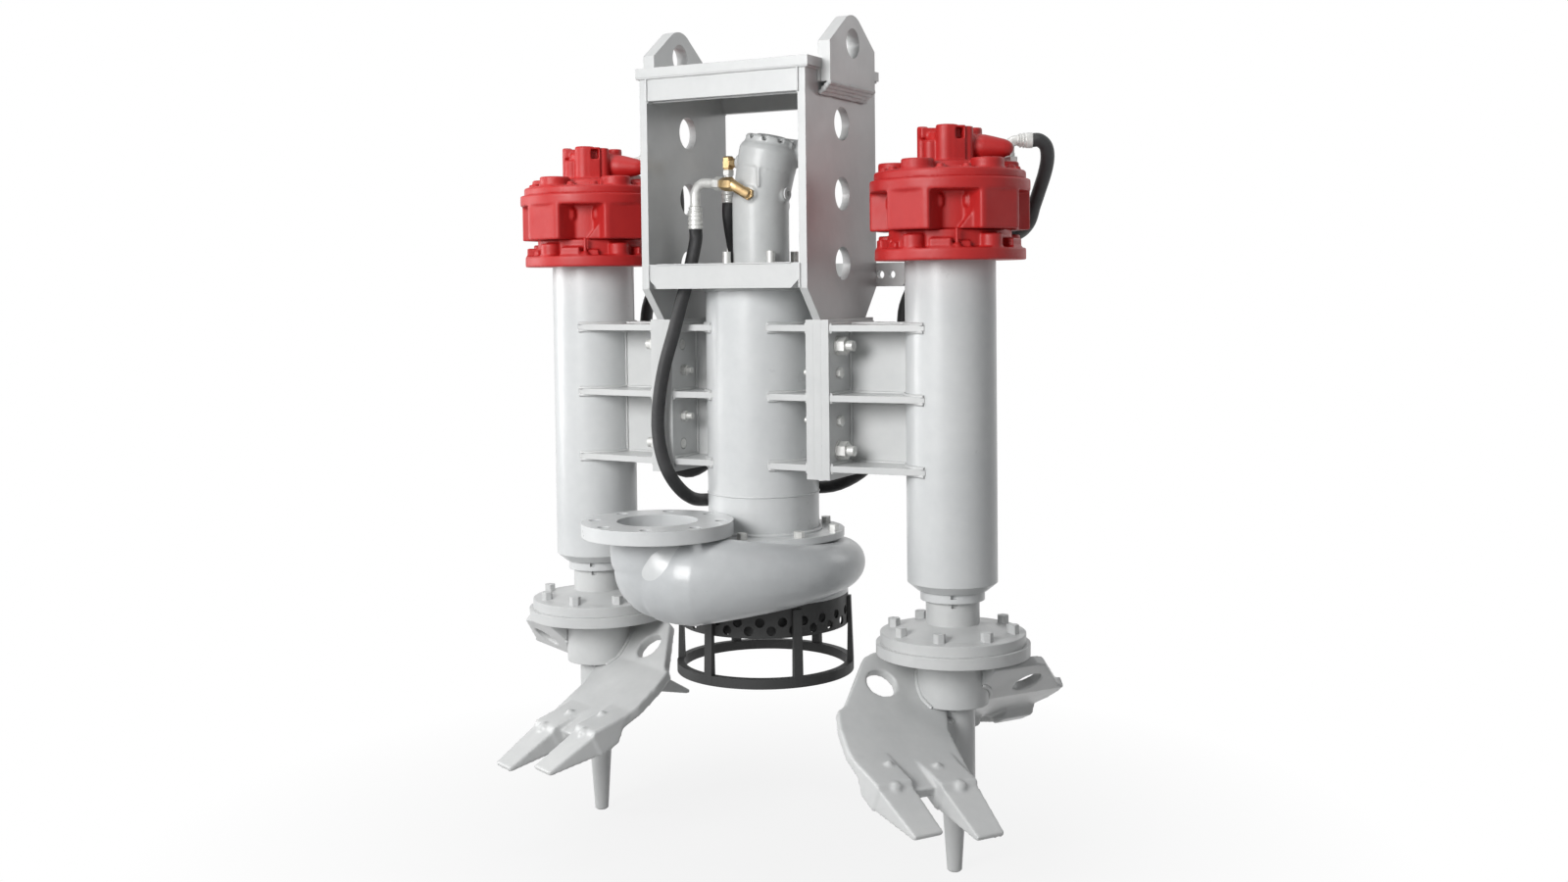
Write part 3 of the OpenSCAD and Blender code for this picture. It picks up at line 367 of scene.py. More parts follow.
@dataclass
class Finishes:
    """Every material of the pump, made once, and the solids that each one covers."""

    made: dict[str, bpy.types.Material] = field(default_factory=dict)

    def build(self) -> None:
        """Makes the materials by their record slot."""
        grey = (0.60, 0.605, 0.60)
        for slot, finish in {
            "frame_paint": Paint("frame_grey", grey, (0.52, 0.53, 0.53)),
            "pump_paint": Paint("pump_grey", (0.64, 0.65, 0.65), (0.55, 0.565, 0.57), 0.27, grain=0.0003,
                                bevel=0.002),
            # The volute's paint is the pump grey darkened as painted shade for its downward-facing belly; its
            # extra coat is real gloss.
            "volute_gloss_painted_shade": Paint("volute_gloss_painted_shade", (0.52, 0.535, 0.54), (0.43, 0.445, 0.455), 0.27,
                                  grain=0.0004, bevel=0.002, coat=0.3),
            "cutter_paint": Paint("cutter_grey", grey, (0.50, 0.51, 0.51), 0.36, bevel=0.0025),
            "motor_grey": Paint("motor_grey", (0.60, 0.615, 0.61), (0.48, 0.49, 0.49), 0.36, grain=0.0004,
                                bevel=0.0015),
            "motor_red": Paint("motor_red", (0.50, 0.016, 0.014), (0.40, 0.008, 0.009), 0.42, grain=0.0005,
                               bevel=0.0018, dust=0.1, wear=(0.30, 0.05, 0.05), coat=0.0),
            "strainer_black": Paint("strainer_black", (0.022, 0.023, 0.023), (0.012, 0.012, 0.012), 0.5,
                                    dust=0.4, wear=(0.08, 0.08, 0.08), coat=0.0),
            "impeller_iron": Paint("impeller_iron", (0.20, 0.20, 0.20), (0.12, 0.12, 0.12), 0.5,
                                   grain=0.0008),
            "hose_rubber": Rubber("hose_rubber", (0.014, 0.014, 0.015), (0.05, 0.05, 0.052)),
            "brass_fitting": Metal("brass_fitting", (0.66, 0.48, 0.25), (0.46, 0.31, 0.16), 0.34),
            "zinc_steel": Metal("zinc_steel", (0.72, 0.72, 0.70), (0.52, 0.52, 0.50), metallic=0.4),
            "shaft_steel": Metal("shaft_steel", (0.58, 0.58, 0.58), (0.40, 0.39, 0.37), 0.25, True),
            "bearing_steel": Metal("bearing_steel", (0.45, 0.45, 0.46), (0.30, 0.29, 0.28), 0.35, True),
        }.items():
            self.made[slot] = finish.build()

    def cover_nodes(self) -> None:
        """Puts each record slot's material on the solids that name it."""
        for part in frame["record"]["subparts"]:
            shape = bpy.data.objects.get(part["node"])
            if shape is None:
                LOG.warning("no object for %s", part["node"])
                continue
            for slot in shape.material_slots:
                slot.material = self.made[part["material_slot"]]
            if not shape.material_slots:
                LOG.warning("%s has no material slot", part["node"])


def mm(x: float, y: float, z: float) -> Vector:
    """A point given in millimetres."""
    return Vector((x, y, z)) * MM


def heading(turn: float) -> Vector:
    """The level direction at a turn from X in degrees."""
    return Vector((math.cos(math.radians(turn)), math.sin(math.radians(turn)), 0.0))


def square_to(ahead: Vector) -> Vector:
    """A direction square to this one."""
    seed = Vector((0, 0, 1)) if abs(ahead.z) < 0.9 else Vector((1, 0, 0))
    return (seed - ahead * seed.dot(ahead)).normalized()


def stand(name: str, data: bpy.types.ID) -> bpy.types.Object:
    """Links a new object with this data into the scene."""
    made = bpy.data.objects.new(name, data)
    bpy.context.scene.collection.objects.link(made)
    return made


def hoop(mesh: Shape, centre: Vector, ahead: Vector, aside: Vector, radius: float,
         sides: int) -> list[bmesh.types.BMVert]:
    """Adds a ring of points round a line.

    Args:
        mesh: what it is added to.
        centre: the ring's centre, in metres.
        ahead: the line's direction.
        aside: direction of the first point.
        radius: its radius in millimetres.
        sides: how many points.

    Returns:
        The points.
    """
    other = ahead.cross(aside)
    return [mesh.verts.new(centre + radius * MM * (math.cos(a) * aside + math.sin(a) * other))
            for a in (2 * math.pi * k / sides for k in range(sides))]


def skin(mesh: Shape, rings: list[list[bmesh.types.BMVert]], closed: bool) -> None:
    """Joins rings of points with faces.

    Args:
        mesh: what they are added to.
        rings: the rings, all with as many points.
        closed: whether the last joins the first, and else both ends are covered.
    """
    sides = len(rings[0])
    for a, b in list(zip(rings, rings[1:])) + ([(rings[-1], rings[0])] if closed else []):
        for k in range(sides):
            mesh.faces.new((a[k], a[(k + 1) % sides], b[(k + 1) % sides], b[k]))
    if not closed:
        mesh.faces.new(list(reversed(rings[0])))
        mesh.faces.new(rings[-1])


def sweep(mesh: Shape, path: Points, radii: list[float] | float, sides: int = 20,
          closed: bool = False) -> None:
    """Adds a tube along a path, with its own radius at each point.

    Args:
        mesh: what it is added to.
        path: the points, in metres.
        radii: one radius, or one for each point, in millimetres.
        sides: steps round the tube.
        closed: whether the path's end joins its start.
    """
    count = len(path)
    sizes = [radii] * count if isinstance(radii, (int, float)) else radii
    aside, rings = None, []
    for i, (place, size) in enumerate(zip(path, sizes)):
        after = path[(i + 1) % count] if closed else path[min(i + 1, count - 1)]
        before = path[i - 1] if closed else path[max(i - 1, 0)]
        ahead = (after - before).normalized()
        aside = square_to(ahead) if aside is None else aside
        aside = (aside - ahead * aside.dot(ahead)).normalized()
        rings.append(hoop(mesh, place, ahead, aside, size, sides))
    skin(mesh, rings, closed)


def turned(mesh: Shape, start: Vector, ahead: Vector, profile: Profile, sides: int = 32,
           hollow: bool = False) -> None:
    """Adds a solid turned about a line.

    Args:
        mesh: what it is added to.
        start: where the line starts, in metres.
        ahead: the line's direction.
        profile: distance along the line and radius, in millimetres.
        sides: steps round it, 6 for a hexagon.
        hollow: whether the profile closes on itself and leaves an open middle.
    """
    way = ahead.normalized()
    aside = square_to(way)
    skin(mesh, [hoop(mesh, start + way * (d * MM), way, aside, r, sides) for d, r in profile], hollow)


def ball(mesh: Shape, centre: Vector, radius: float, rows: int = 32) -> None:
    """Adds a sphere, with its radius in millimetres."""
    bmesh.ops.create_uvsphere(mesh, u_segments=64, v_segments=rows, radius=radius * MM,
                              matrix=Matrix.Translation(centre))


def block(mesh: Shape, low: Spot, high: Spot, place: Matrix = Matrix.Identity(4)) -> None:
    """Adds a plain block between two corners given in millimetres.

    Args:
        mesh: what it is added to.
        low: its lowest corner.
        high: its highest corner.
        place: where it stands, in metres.
    """
    size = [b - a for a, b in zip(low, high)]
    middle = [(a + b) / 2 for a, b in zip(low, high)]
    bmesh.ops.create_cube(mesh, size=1.0, matrix=place @ Matrix.Translation(mm(*middle))
                          @ Matrix.Diagonal((*(s * MM for s in size), 1.0)))


def ring(centre: Spot, radius: float, start: float = 0.0, end: float = 360.0, step: float = 2.4) -> Points:
    """Points round a level arc given in millimetres and degrees.

    Args:
        centre: the arc's centre.
        radius: its radius.
        start: its first angle.
        end: its last angle.
        step: distance between points.

    Returns:
        The points in metres.
    """
    count = max(3, int(abs(math.radians(end - start)) * radius / step))
    last = count if abs(end - start) >= 360 else count + 1
    return [mm(*centre) + radius * MM * heading(start + (end - start) * k / count) for k in range(last)]


def line(a: Spot, b: Spot, step: float = 2.4) -> Points:
    """Points along a straight stretch given in millimetres."""
    start, end = mm(*a), mm(*b)
    count = max(2, int((end - start).length / MM / step))
    return [start.lerp(end, k / count) for k in range(count + 1)]


def smooth_route(route: list[Spot], steps: int) -> Points:
    """Smooth points through a route given in millimetres.

    Args:
        route: the given points.
        steps: points in each stretch.

    Returns:
        The points in metres.
    """
    p = [Vector(q) * MM for q in route]
    out = []
    for i in range(len(p) - 1):
        a, b, c, d = p[max(i - 1, 0)], p[i], p[i + 1], p[min(i + 2, len(p) - 1)]
        for t in (k / steps for k in range(steps)):
            out.append(0.5 * ((2 * b) + (c - a) * t + (2 * a - 5 * b + 4 * c - d) * t * t
                              + (3 * b - a - 3 * c + d) * t * t * t))
    return out + [p[-1]]


@dataclass
class Maker:
    """Turns shapes into finished mesh pieces that ride on a body."""

    finishes: Finishes

    def adopt(self, name: str, data: bpy.types.Mesh, slot: str, body: str,
              stands_for: tuple[str, ...]) -> bpy.types.Object:
        """Links a mesh as a piece with its finish.

        Args:
            name: the piece's name.
            data: its mesh.
            slot: the finish, by its record slot or as an extra finish.
            body: the body that it rides on.
            stands_for: the solids that it replaces.

        Returns:
            The new object.
        """
        made = stand(name, data)
        data.materials.clear()
        data.materials.append(self.finishes.made[slot])
        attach(made, body)
        if stands_for:
            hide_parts(*stands_for)
        LOG.info("%s: %d faces", name, len(data.polygons))
        return made

    def piece(self, name: str, mesh: Shape, slot: str, body: str = HANGER, angle: float = 35.0,
              stands_for: tuple[str, ...] = ()) -> bpy.types.Object:
        """Turns a shape into a finished piece.

        Args:
            name: the piece's name.
            mesh: its shape, in metres in the row frame.
            slot: its finish.
            body: the body that it rides on.
            angle: sharpest angle that is still smooth, in degrees.
            stands_for: the solids that it replaces.

        Returns:
            The new object.
        """
        for face in mesh.faces:
            face.smooth = True
        bmesh.ops.recalc_face_normals(mesh, faces=mesh.faces)
        for edge in mesh.edges:
            edge.smooth = len(edge.link_faces) != 2 or edge.calc_face_angle(0.0) <= math.radians(angle)
        data = bpy.data.meshes.new(name)
        mesh.to_mesh(data)
        mesh.free()
        return self.adopt(name, data, slot, body, stands_for)

    def raw(self, name: str, mesh: Shape) -> bpy.types.Object:
        """Links a shape as a spare object that a casting is made from.

        Args:
            name: the spare's name.
            mesh: its closed solids.

        Returns:
            The new object.
        """
        bmesh.ops.recalc_face_normals(mesh, faces=mesh.faces)
        data = bpy.data.meshes.new(name)
        mesh.to_mesh(data)
        mesh.free()
        return stand(name, data)

    def melt(self, shape: bpy.types.Object, voxel_mm: float) -> None:
        """Adds a modifier that melts overlapping solids into one skin."""
        step = shape.modifiers.new("melt", "REMESH")
        step.mode, step.voxel_size, step.use_smooth_shade = "VOXEL", voxel_mm * MM, True

    def cast(self, name: str, mesh: Shape, slot: str, body: str = HANGER, voxel_mm: float = 3.0,
             rounds: int = 3, cuts: tuple[Shape, ...] = (),
             stands_for: tuple[str, ...] = ()) -> bpy.types.Object:
        """Melts overlapping closed solids into one casting with rounded edges and filled corners.

        Args:
            name: the piece's name.
            mesh: the closed solids, in metres in the row frame.
            slot: its finish.
            body: the body that it rides on.
            voxel_mm: size of the casting's cells.
            rounds: smoothing steps.
            cuts: closed solids to take out first.
            stands_for: the solids that it replaces.

        Returns:
            The new object.
        """
        rough = self.raw(f"{name}_raw", mesh)
        self.melt(rough, voxel_mm)
        tools = [self.raw(f"{name}_cut", cut) for cut in cuts]
        for tool in tools:
            take = rough.modifiers.new("take", "BOOLEAN")
            take.operation, take.solver, take.object = "DIFFERENCE", "EXACT", tool
        if tools:
            self.melt(rough, voxel_mm)
        soft = rough.modifiers.new("soft", "SMOOTH")
        soft.factor, soft.iterations = 0.5, rounds
        bpy.context.view_layer.update()
        done = bpy.data.meshes.new_from_object(rough.evaluated_get(bpy.context.evaluated_depsgraph_get()))
        done.name = name
        for spare in (rough, *tools):
            held = spare.data
            bpy.data.objects.remove(spare)
            bpy.data.meshes.remove(held)
        for face in done.polygons:
            face.use_smooth = True
        return self.adopt(name, done, slot, body, stands_for)


@dataclass
class Welds:
    """A set of hand-laid weld beads in one finish on one body, the same in every run."""

    name: str
    slot: str
    body: str = HANGER
    sides: int = 7
    seed: int = 7
    runs: list[tuple[Points, float, bool]] = field(default_factory=list)

    def add(self, path: Points, size: float = 3.4, closed: bool = False) -> None:
        """Lays one bead.

        Args:
            path: where it runs, in metres.
            size: its radius in millimetres.
            closed: whether it runs all the way round.
        """
        self.runs.append((path, size, closed))

    def build(self, maker: Maker) -> None:
        """Makes the beads as one piece, rippled like a weld pool.

        Args:
            maker: makes the piece.
        """
        noise.seed_set(self.seed)
        mesh = bmesh.new()
        for index, (path, size, closed) in enumerate(self.runs):
            radii, shifted = [], []
            for k, place in enumerate(path):
                wander = noise.noise_vector(place * 70.0 + Vector((index, 0, 0)))
                ripple = abs(math.sin(k * 1.05 + 0.4 * wander.x))
                radii.append(size * (0.86 + 0.16 * ripple + 0.22 * wander.y))
                shifted.append(place + wander * (0.16 * size * MM))
            sweep(mesh, shifted, radii, self.sides, closed)
        maker.piece(self.name, mesh, self.slot, self.body, angle=80.0)


@dataclass(frozen=True)
class Lamp:
    """A round soft lamp that looks at the pump's middle."""

    name: str
    place: Spot
    size: float
    power: float
    target: Spot = (0.0, 0.0, -0.7)

    def build(self) -> None:
        """Hangs the lamp."""
        data = bpy.data.lights.new(self.name, "AREA")
        data.shape, data.size, data.energy = "DISK", self.size, self.power
        made = stand(self.name, data)
        made.location = self.place
        made.rotation_mode = "QUATERNION"
        made.rotation_quaternion = (Vector(self.target) - Vector(self.place)).to_track_quat("-Z", "Y")


@dataclass
class Studio:
    """The camera at the photograph's place, a pale floor, a white surround and soft lamps."""

    focal_px: float = 1626.179
    frame_px: tuple[float, float] = (1600.0, 900.0)
    principal_px: tuple[float, float] = (800.008, 352.693)
    place_m: Spot = (1.525353, -2.741534, -0.451015)
    yaw: float = 28.296
    pitch: float = 2.269
    roll: float = 0.656
    sensor_mm: float = 36.0
    floor_z: float = -1.5560
    floor_half: float = 30.0
    floor_colour: Colour = (0.42, 0.42, 0.42)
    fade_m: tuple[float, float] = (0.35, 1.25)
    near_white: float = 0.86
    world_tint: Colour = (0.96, 0.98, 1.0)
    world_light: float = 0.17
    lamps: tuple[Lamp, ...] = (
        Lamp("key_lamp", (-0.6, -4.0, 0.7), 2.2, 168.0),
        Lamp("left_lamp", (-3.6, -0.9, -0.3), 1.8, 44.0),
        Lamp("right_lamp", (3.6, -1.6, 0.4), 2.0, 2.0),
        Lamp("top_lamp", (-0.3, -0.6, 2.3), 1.6, 20.0),
        Lamp("back_lamp", (2.2, 3.0, 0.9), 1.8, 12.0),
    )

    def camera(self) -> None:
        """Sets the camera up as solved from the photograph."""
        yaw, pitch, roll = (math.radians(v) for v in (self.yaw, self.pitch, self.roll))
        ahead = Vector((-math.sin(yaw) * math.cos(pitch), math.cos(yaw) * math.cos(pitch), -math.sin(pitch)))
        right = Vector((math.cos(yaw), math.sin(yaw), 0.0))
        up = right.cross(ahead)
        x = right * math.cos(roll) - up * math.sin(roll)
        y = up * math.cos(roll) + right * math.sin(roll)
        width, height = self.frame_px
        data = bpy.data.cameras.new("photo_camera")
        data.sensor_width = self.sensor_mm
        data.lens = self.focal_px / width * self.sensor_mm
        data.shift_x = -(self.principal_px[0] - width / 2) / width
        data.shift_y = (self.principal_px[1] - height / 2) / width
        data.clip_start, data.clip_end = 0.05, 100.0
        made = stand("photo_camera", data)
        made.matrix_world = (Matrix.Translation(Vector(self.place_m))
                             @ Matrix((x, y, -ahead)).transposed().to_4x4())
        bpy.context.scene.camera = made

    def floor(self) -> None:
        """Lays the floor, which fades to the white of the background away from the pump."""
        g = Graph("pale_floor")
        radial = g.node("ShaderNodeVectorMath", {0: g.place}, operation="LENGTH").outputs["Value"]
        share = g.math("MULTIPLY", g.ramp(radial, *self.fade_m, self.near_white, 1.0), g.seen())
        matt = g.node("ShaderNodeBsdfDiffuse", {"Color": (*self.floor_colour, 1.0)})
        white = g.node("ShaderNodeEmission", {"Color": WHITE, "Strength": 1.0})
        g.mix(share, matt, white)
        mesh = bmesh.new()
        bmesh.ops.create_grid(mesh, x_segments=8, y_segments=8, size=self.floor_half)
        data = bpy.data.meshes.new("floor")
        mesh.to_mesh(data)
        mesh.free()
        data.materials.append(g.owner)
        made = stand("floor", data)
        made.location = (0.0, 0.0, self.floor_z)

    def world(self) -> None:
        """Gives a white surround that the camera and reflections see, and softer light from it."""
        g = Graph("studio", world=True)
        bpy.context.scene.world = g.owner
        tint = (*self.world_tint, 1.0)
        soft = g.node("ShaderNodeBackground", {"Color": tint, "Strength": self.world_light})
        white = g.node("ShaderNodeBackground", {"Color": WHITE, "Strength": 1.0})
        g.mix(g.seen(), soft, white)

    def build(self) -> None:
        """Sets the whole studio up."""
        bpy.context.scene.view_settings.view_transform = "Standard"
        self.camera()
        self.floor()
        self.world()
        for lamp in self.lamps:
            lamp.build()


# Points of the hoses' routes, in millimetres, from the pump motor to the side motor
ROUTE_RIGHT = [(-110, -64, -344), (-110, -64, -366), (-108, -84, -408), (-104, -108, -446),
               (-112, -119, -490), (-128, -121, -545), (-150, -121, -610), (-163, -121, -670),
               (-168, -121, -730), (-160, -120, -785), (-144, -110, -832), (-138, -60, -872),
               (-144, 20, -890), (-110, 108, -886), (-20, 156, -876), (90, 158, -862),
               (178, 150, -800), (216, 160, -700), (228, 170, -590), (230, 178, -500),
               (272, 188, -430), (350, 208, -386), (440, 214, -366), (484, 186, -345),
               (505, 165, -310), (521, 151, -280), (536, 138, -250), (546, 124, -224),
               (546, 115, -203), (536, 107, -192), (524, 101, -192)]
ROUTE_LEFT = [(-84, 22, -290), (-84, 22, -322), (-88, 48, -385), (-92, 80, -446),
              (-98, 114, -515), (-112, 128, -620), (-140, 140, -720), (-190, 140, -808),
              (-258, 128, -850), (-318, 114, -800), (-338, 104, -700), (-340, 104, -600),
              (-338, 110, -500), (-322, 146, -428), (-314, 186, -360), (-308, 190, -290),
              (-294, 160, -230), (-282, 126, -206), (-286, 98, -196), (-308, 86, -192),
              (-322, 86, -192)]


@dataclass
class Hose:
    """A stiff hydraulic hose from the pump motor to a side motor."""

    side: Side
    route: list[Spot]
    radius_mm: float = 13.0

    def build(self, finishes: Finishes) -> None:
        """Args:
            finishes: the pump's materials.
        """
        points = smooth_route(self.route, 6)
        data = bpy.data.curves.new(f"hydraulic_hose_{self.side.value}", "CURVE")
        data.dimensions, data.use_fill_caps = "3D", True
        data.bevel_depth, data.bevel_resolution = self.radius_mm * MM, 6
        spline = data.splines.new("POLY")
        spline.points.add(len(points) - 1)
        for target, p in zip(spline.points, points):
            target.co = (*p, 1.0)
        data.materials.append(finishes.made["hose_rubber"])
        made = stand(data.name, data)
        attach(made, HANGER)
        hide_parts(f"hose_{self.side.value}")


@dataclass
class Volute:
    """The pump's volute: a spiral round a drum and a fat bend up to the discharge flange, in one casting."""

    maker: Maker
    drum_r: float = 146.0
    drum_half: float = 49.0
    tongue_turn: float = 225.0
    wrap: float = 315.0
    steps: int = 120
    lead_in: int = 3
    bend_r: float = 90.0
    bore_r: float = 76.5
    neck_r: float = 89.5
    neck_foot_z: float = -978.0
    throat: Profile = ((-4.0, 86.0), (-12.0, 86.8), (-40.0, 86.5), (-78.0, 84.0))
    heel: tuple[Trio, ...] = ((-92.0, -984.0, 85.5), (-84.0, -992.0, 84.5))
    # A black ring just inside the strainer skirt, painted shade for the dark seen through the skirt's holes.
    shade_ring_z: float = -1118.5
    shade_ring_h: float = 56.0
    shade_ring_r: tuple[float, float] = (142.0, 145.0)

    def section(self, part: float) -> Trio:
        """Gives the volute's section at a share of its way from tongue to throat.

        Args:
            part: 0 at the tongue, 1 at the throat.

        Returns:
            Turn in degrees, radius from the pump axis and the section's own radius, in millimetres.
        """
        return (self.tongue_turn - self.wrap * part, 148.0 + 90.0 * part ** 5,
                25.0 + 59.0 * (0.36 * part + 0.64 * part ** 6))

    def spiral(self) -> tuple[Points, list[float]]:
        """Gives the spiral's centreline and radii, from a pointed lead-in to the throat."""
        path, radii = [], []
        for k in range(-self.lead_in, self.steps + 1):
            turn, away, size = self.section(max(k, 0) / self.steps)
            angle = math.radians(turn - 2.6 * min(k, 0))
            path.append(mm(away * math.cos(angle), away * math.sin(angle), CASING_Z))
            radii.append(size + (4.0 * k if k < 0 else 0.0))
        for x, size in self.throat:
            path.append(mm(x, DISCHARGE_Y, CASING_Z))
            radii.append(size)
        return path, radii

    def bore(self) -> Shape:
        """Gives the passage that is cut along the bend."""
        bend = [mm(DISCHARGE_X + self.bend_r * (1 - math.cos(a)), DISCHARGE_Y,
                   CASING_Z + self.bend_r * (1 - math.sin(a)))
                for a in (math.radians(7.5 * k) for k in range(13))]
        cut = bmesh.new()
        ends = mm(DISCHARGE_X, DISCHARGE_Y, -880), mm(24, DISCHARGE_Y, CASING_Z)
        sweep(cut, [ends[0], *bend, ends[1]], self.bore_r, 64)
        return cut

    def build(self) -> None:
        """Casts the volute, puts a black ring of painted shade just inside the strainer and lays the beads
        round the column and the outlet.
        """
        mesh = bmesh.new()
        turned(mesh, mm(DISCHARGE_X, DISCHARGE_Y, 0) + UP * (self.neck_foot_z * MM), UP,
               [(0, self.neck_r - 3), (20, self.neck_r), (57, self.neck_r)], 96)
        for x, z, size in self.heel:
            ball(mesh, mm(x, DISCHARGE_Y, z), size, rows=40)
        sweep(mesh, *self.spiral(), 40)
        turned(mesh, mm(0, 0, CASING_Z - self.drum_half), UP,
               [(0, self.drum_r), (2 * self.drum_half, self.drum_r)], 96)
        # The volute's finish carries painted shade: a darker copy of the pump grey.
        self.maker.cast("volute_casting", mesh, "volute_gloss_painted_shade", rounds=9, cuts=(self.bore(),),
                        stands_for=("volute_casing",))
        # Painted shade: a black ring just inside the strainer skirt that darkens the view through its holes.
        shade_ring = bmesh.new()
        inner, outer = self.shade_ring_r
        turned(shade_ring, mm(0, 0, self.shade_ring_z), UP,
               [(0, outer), (self.shade_ring_h, outer), (self.shade_ring_h, inner), (0, inner)], 72, hollow=True)
        self.maker.piece("strainer_shade_ring", shade_ring, "strainer_black")
        welds = Welds("pump_welds", "pump_paint")
        welds.add(ring((DISCHARGE_X, DISCHARGE_Y, -921.5), self.neck_r + 0.5), 4.0, True)
        welds.add(ring((0, 0, SEAL_FLANGE_Z + 1.5), 111.5), 4.2, True)
        welds.add(ring((0, 0, COLUMN_BOTTOM_Z - 0.5), COLUMN_R + 0.05), 1.8, True)
        welds.build(self.maker)


@dataclass
class FrameWelds:
    """Beads of the hanging frame and of the arms."""

    maker: Maker
    rib_tops: tuple[float, ...] = (-531.0, -662.0, -794.0)
    rib_t: float = 12.0
    web_face: float = 7.4
    plate_out: float = 163.0
    lug_edge: float = 98.6
    lug_fillet: Profile = ((201.0, -82.0), (195.5, -87.5), (190.0, -93.0), (184.5, -99.0))

    def arm(self, welds: Welds, side: Side) -> None:
        """Lays one arm's beads.

        Args:
            welds: the set that they join.
            side: which arm.
        """
        s = side.sign
        on_tube, on_column = ((103.0, 257.0), (-56.0, 56.0)) if s > 0 else ((-77.0, 77.0), (124.0, 236.0))
        for top in self.rib_tops:
            for z in (top + 1.2, top - self.rib_t - 1.2):
                welds.add(ring((SIDE_X * s, 0, z), SIDE_TUBE_R + 1.6, *on_tube), 3.6)
                welds.add(ring((0, 0, z), COLUMN_R + 1.6, *on_column), 3.8)
                for x in (197.6, 146.4):
                    welds.add(line((x * s, -94, z), (x * s, 94, z)))
            for y in (-self.web_face, self.web_face):
                for z in (top + 1.0, top - self.rib_t - 1.0):
                    welds.add(line((198 * s, y, z), (314 * s, y, z)), 2.8)
        for y in (-self.web_face, self.web_face):
            for x in (197.4, 316.6, 146.6, 109.8):
                welds.add(line((x * s, y, -790), (x * s, y, -545)), 3.0)

    def plates(self, welds: Welds, side: Side) -> None:
        """Lays the beads of one side plate and its lifting lug.

        Args:
            welds: the set that they join.
            side: which side.
        """
        s = side.sign
        x = (self.plate_out + 1.5) * s
        for y in (-150.8, 150.8):
            welds.add(line((x, y, -101), (x, y, -56)), 2.6)
            welds.add(line((x, y, -460), (x, y, -415)), 2.6)
        welds.add(line((163.2 * s, -134, -101.5), (163.2 * s, -149, -101.5)), 3.0)
        welds.add(line((self.plate_out * s, -133, -444), (self.plate_out * s, 132, -444)))
        for y in (-self.lug_edge, self.lug_edge):
            welds.add(line((181.5 * s, y, -80), (181.5 * s, y, -38)), 4.4)
        for x, z in self.lug_fillet:
            welds.add(line((x * s, -97, z), (x * s, 97, z)), 5.6)
        for y in (-99.6, 99.6):
            welds.add(line((181.6 * s, -y, -56.5), (181.6 * s, -y * 1.52, -56.5)), 2.8)

    def build(self) -> None:
        """Lays every bead and makes the piece."""
        welds = Welds("frame_welds", "frame_paint")
        for side in Side:
            self.arm(welds, side)
            self.plates(welds, side)
        welds.add(line((-186, -151.2, -56.2), (186, -151.2, -56.2)), 2.8)
        welds.add(line((-162, -133.2, -101), (162, -133.2, -101)), 2.2)
        welds.add(line((-146, -150.6, -414.6), (146, -150.6, -414.6)), 1.6)
        welds.add(ring((0, 0, COLUMN_TOP_Z - 1.5), 111.4), 4.4, True)
        welds.build(self.maker)


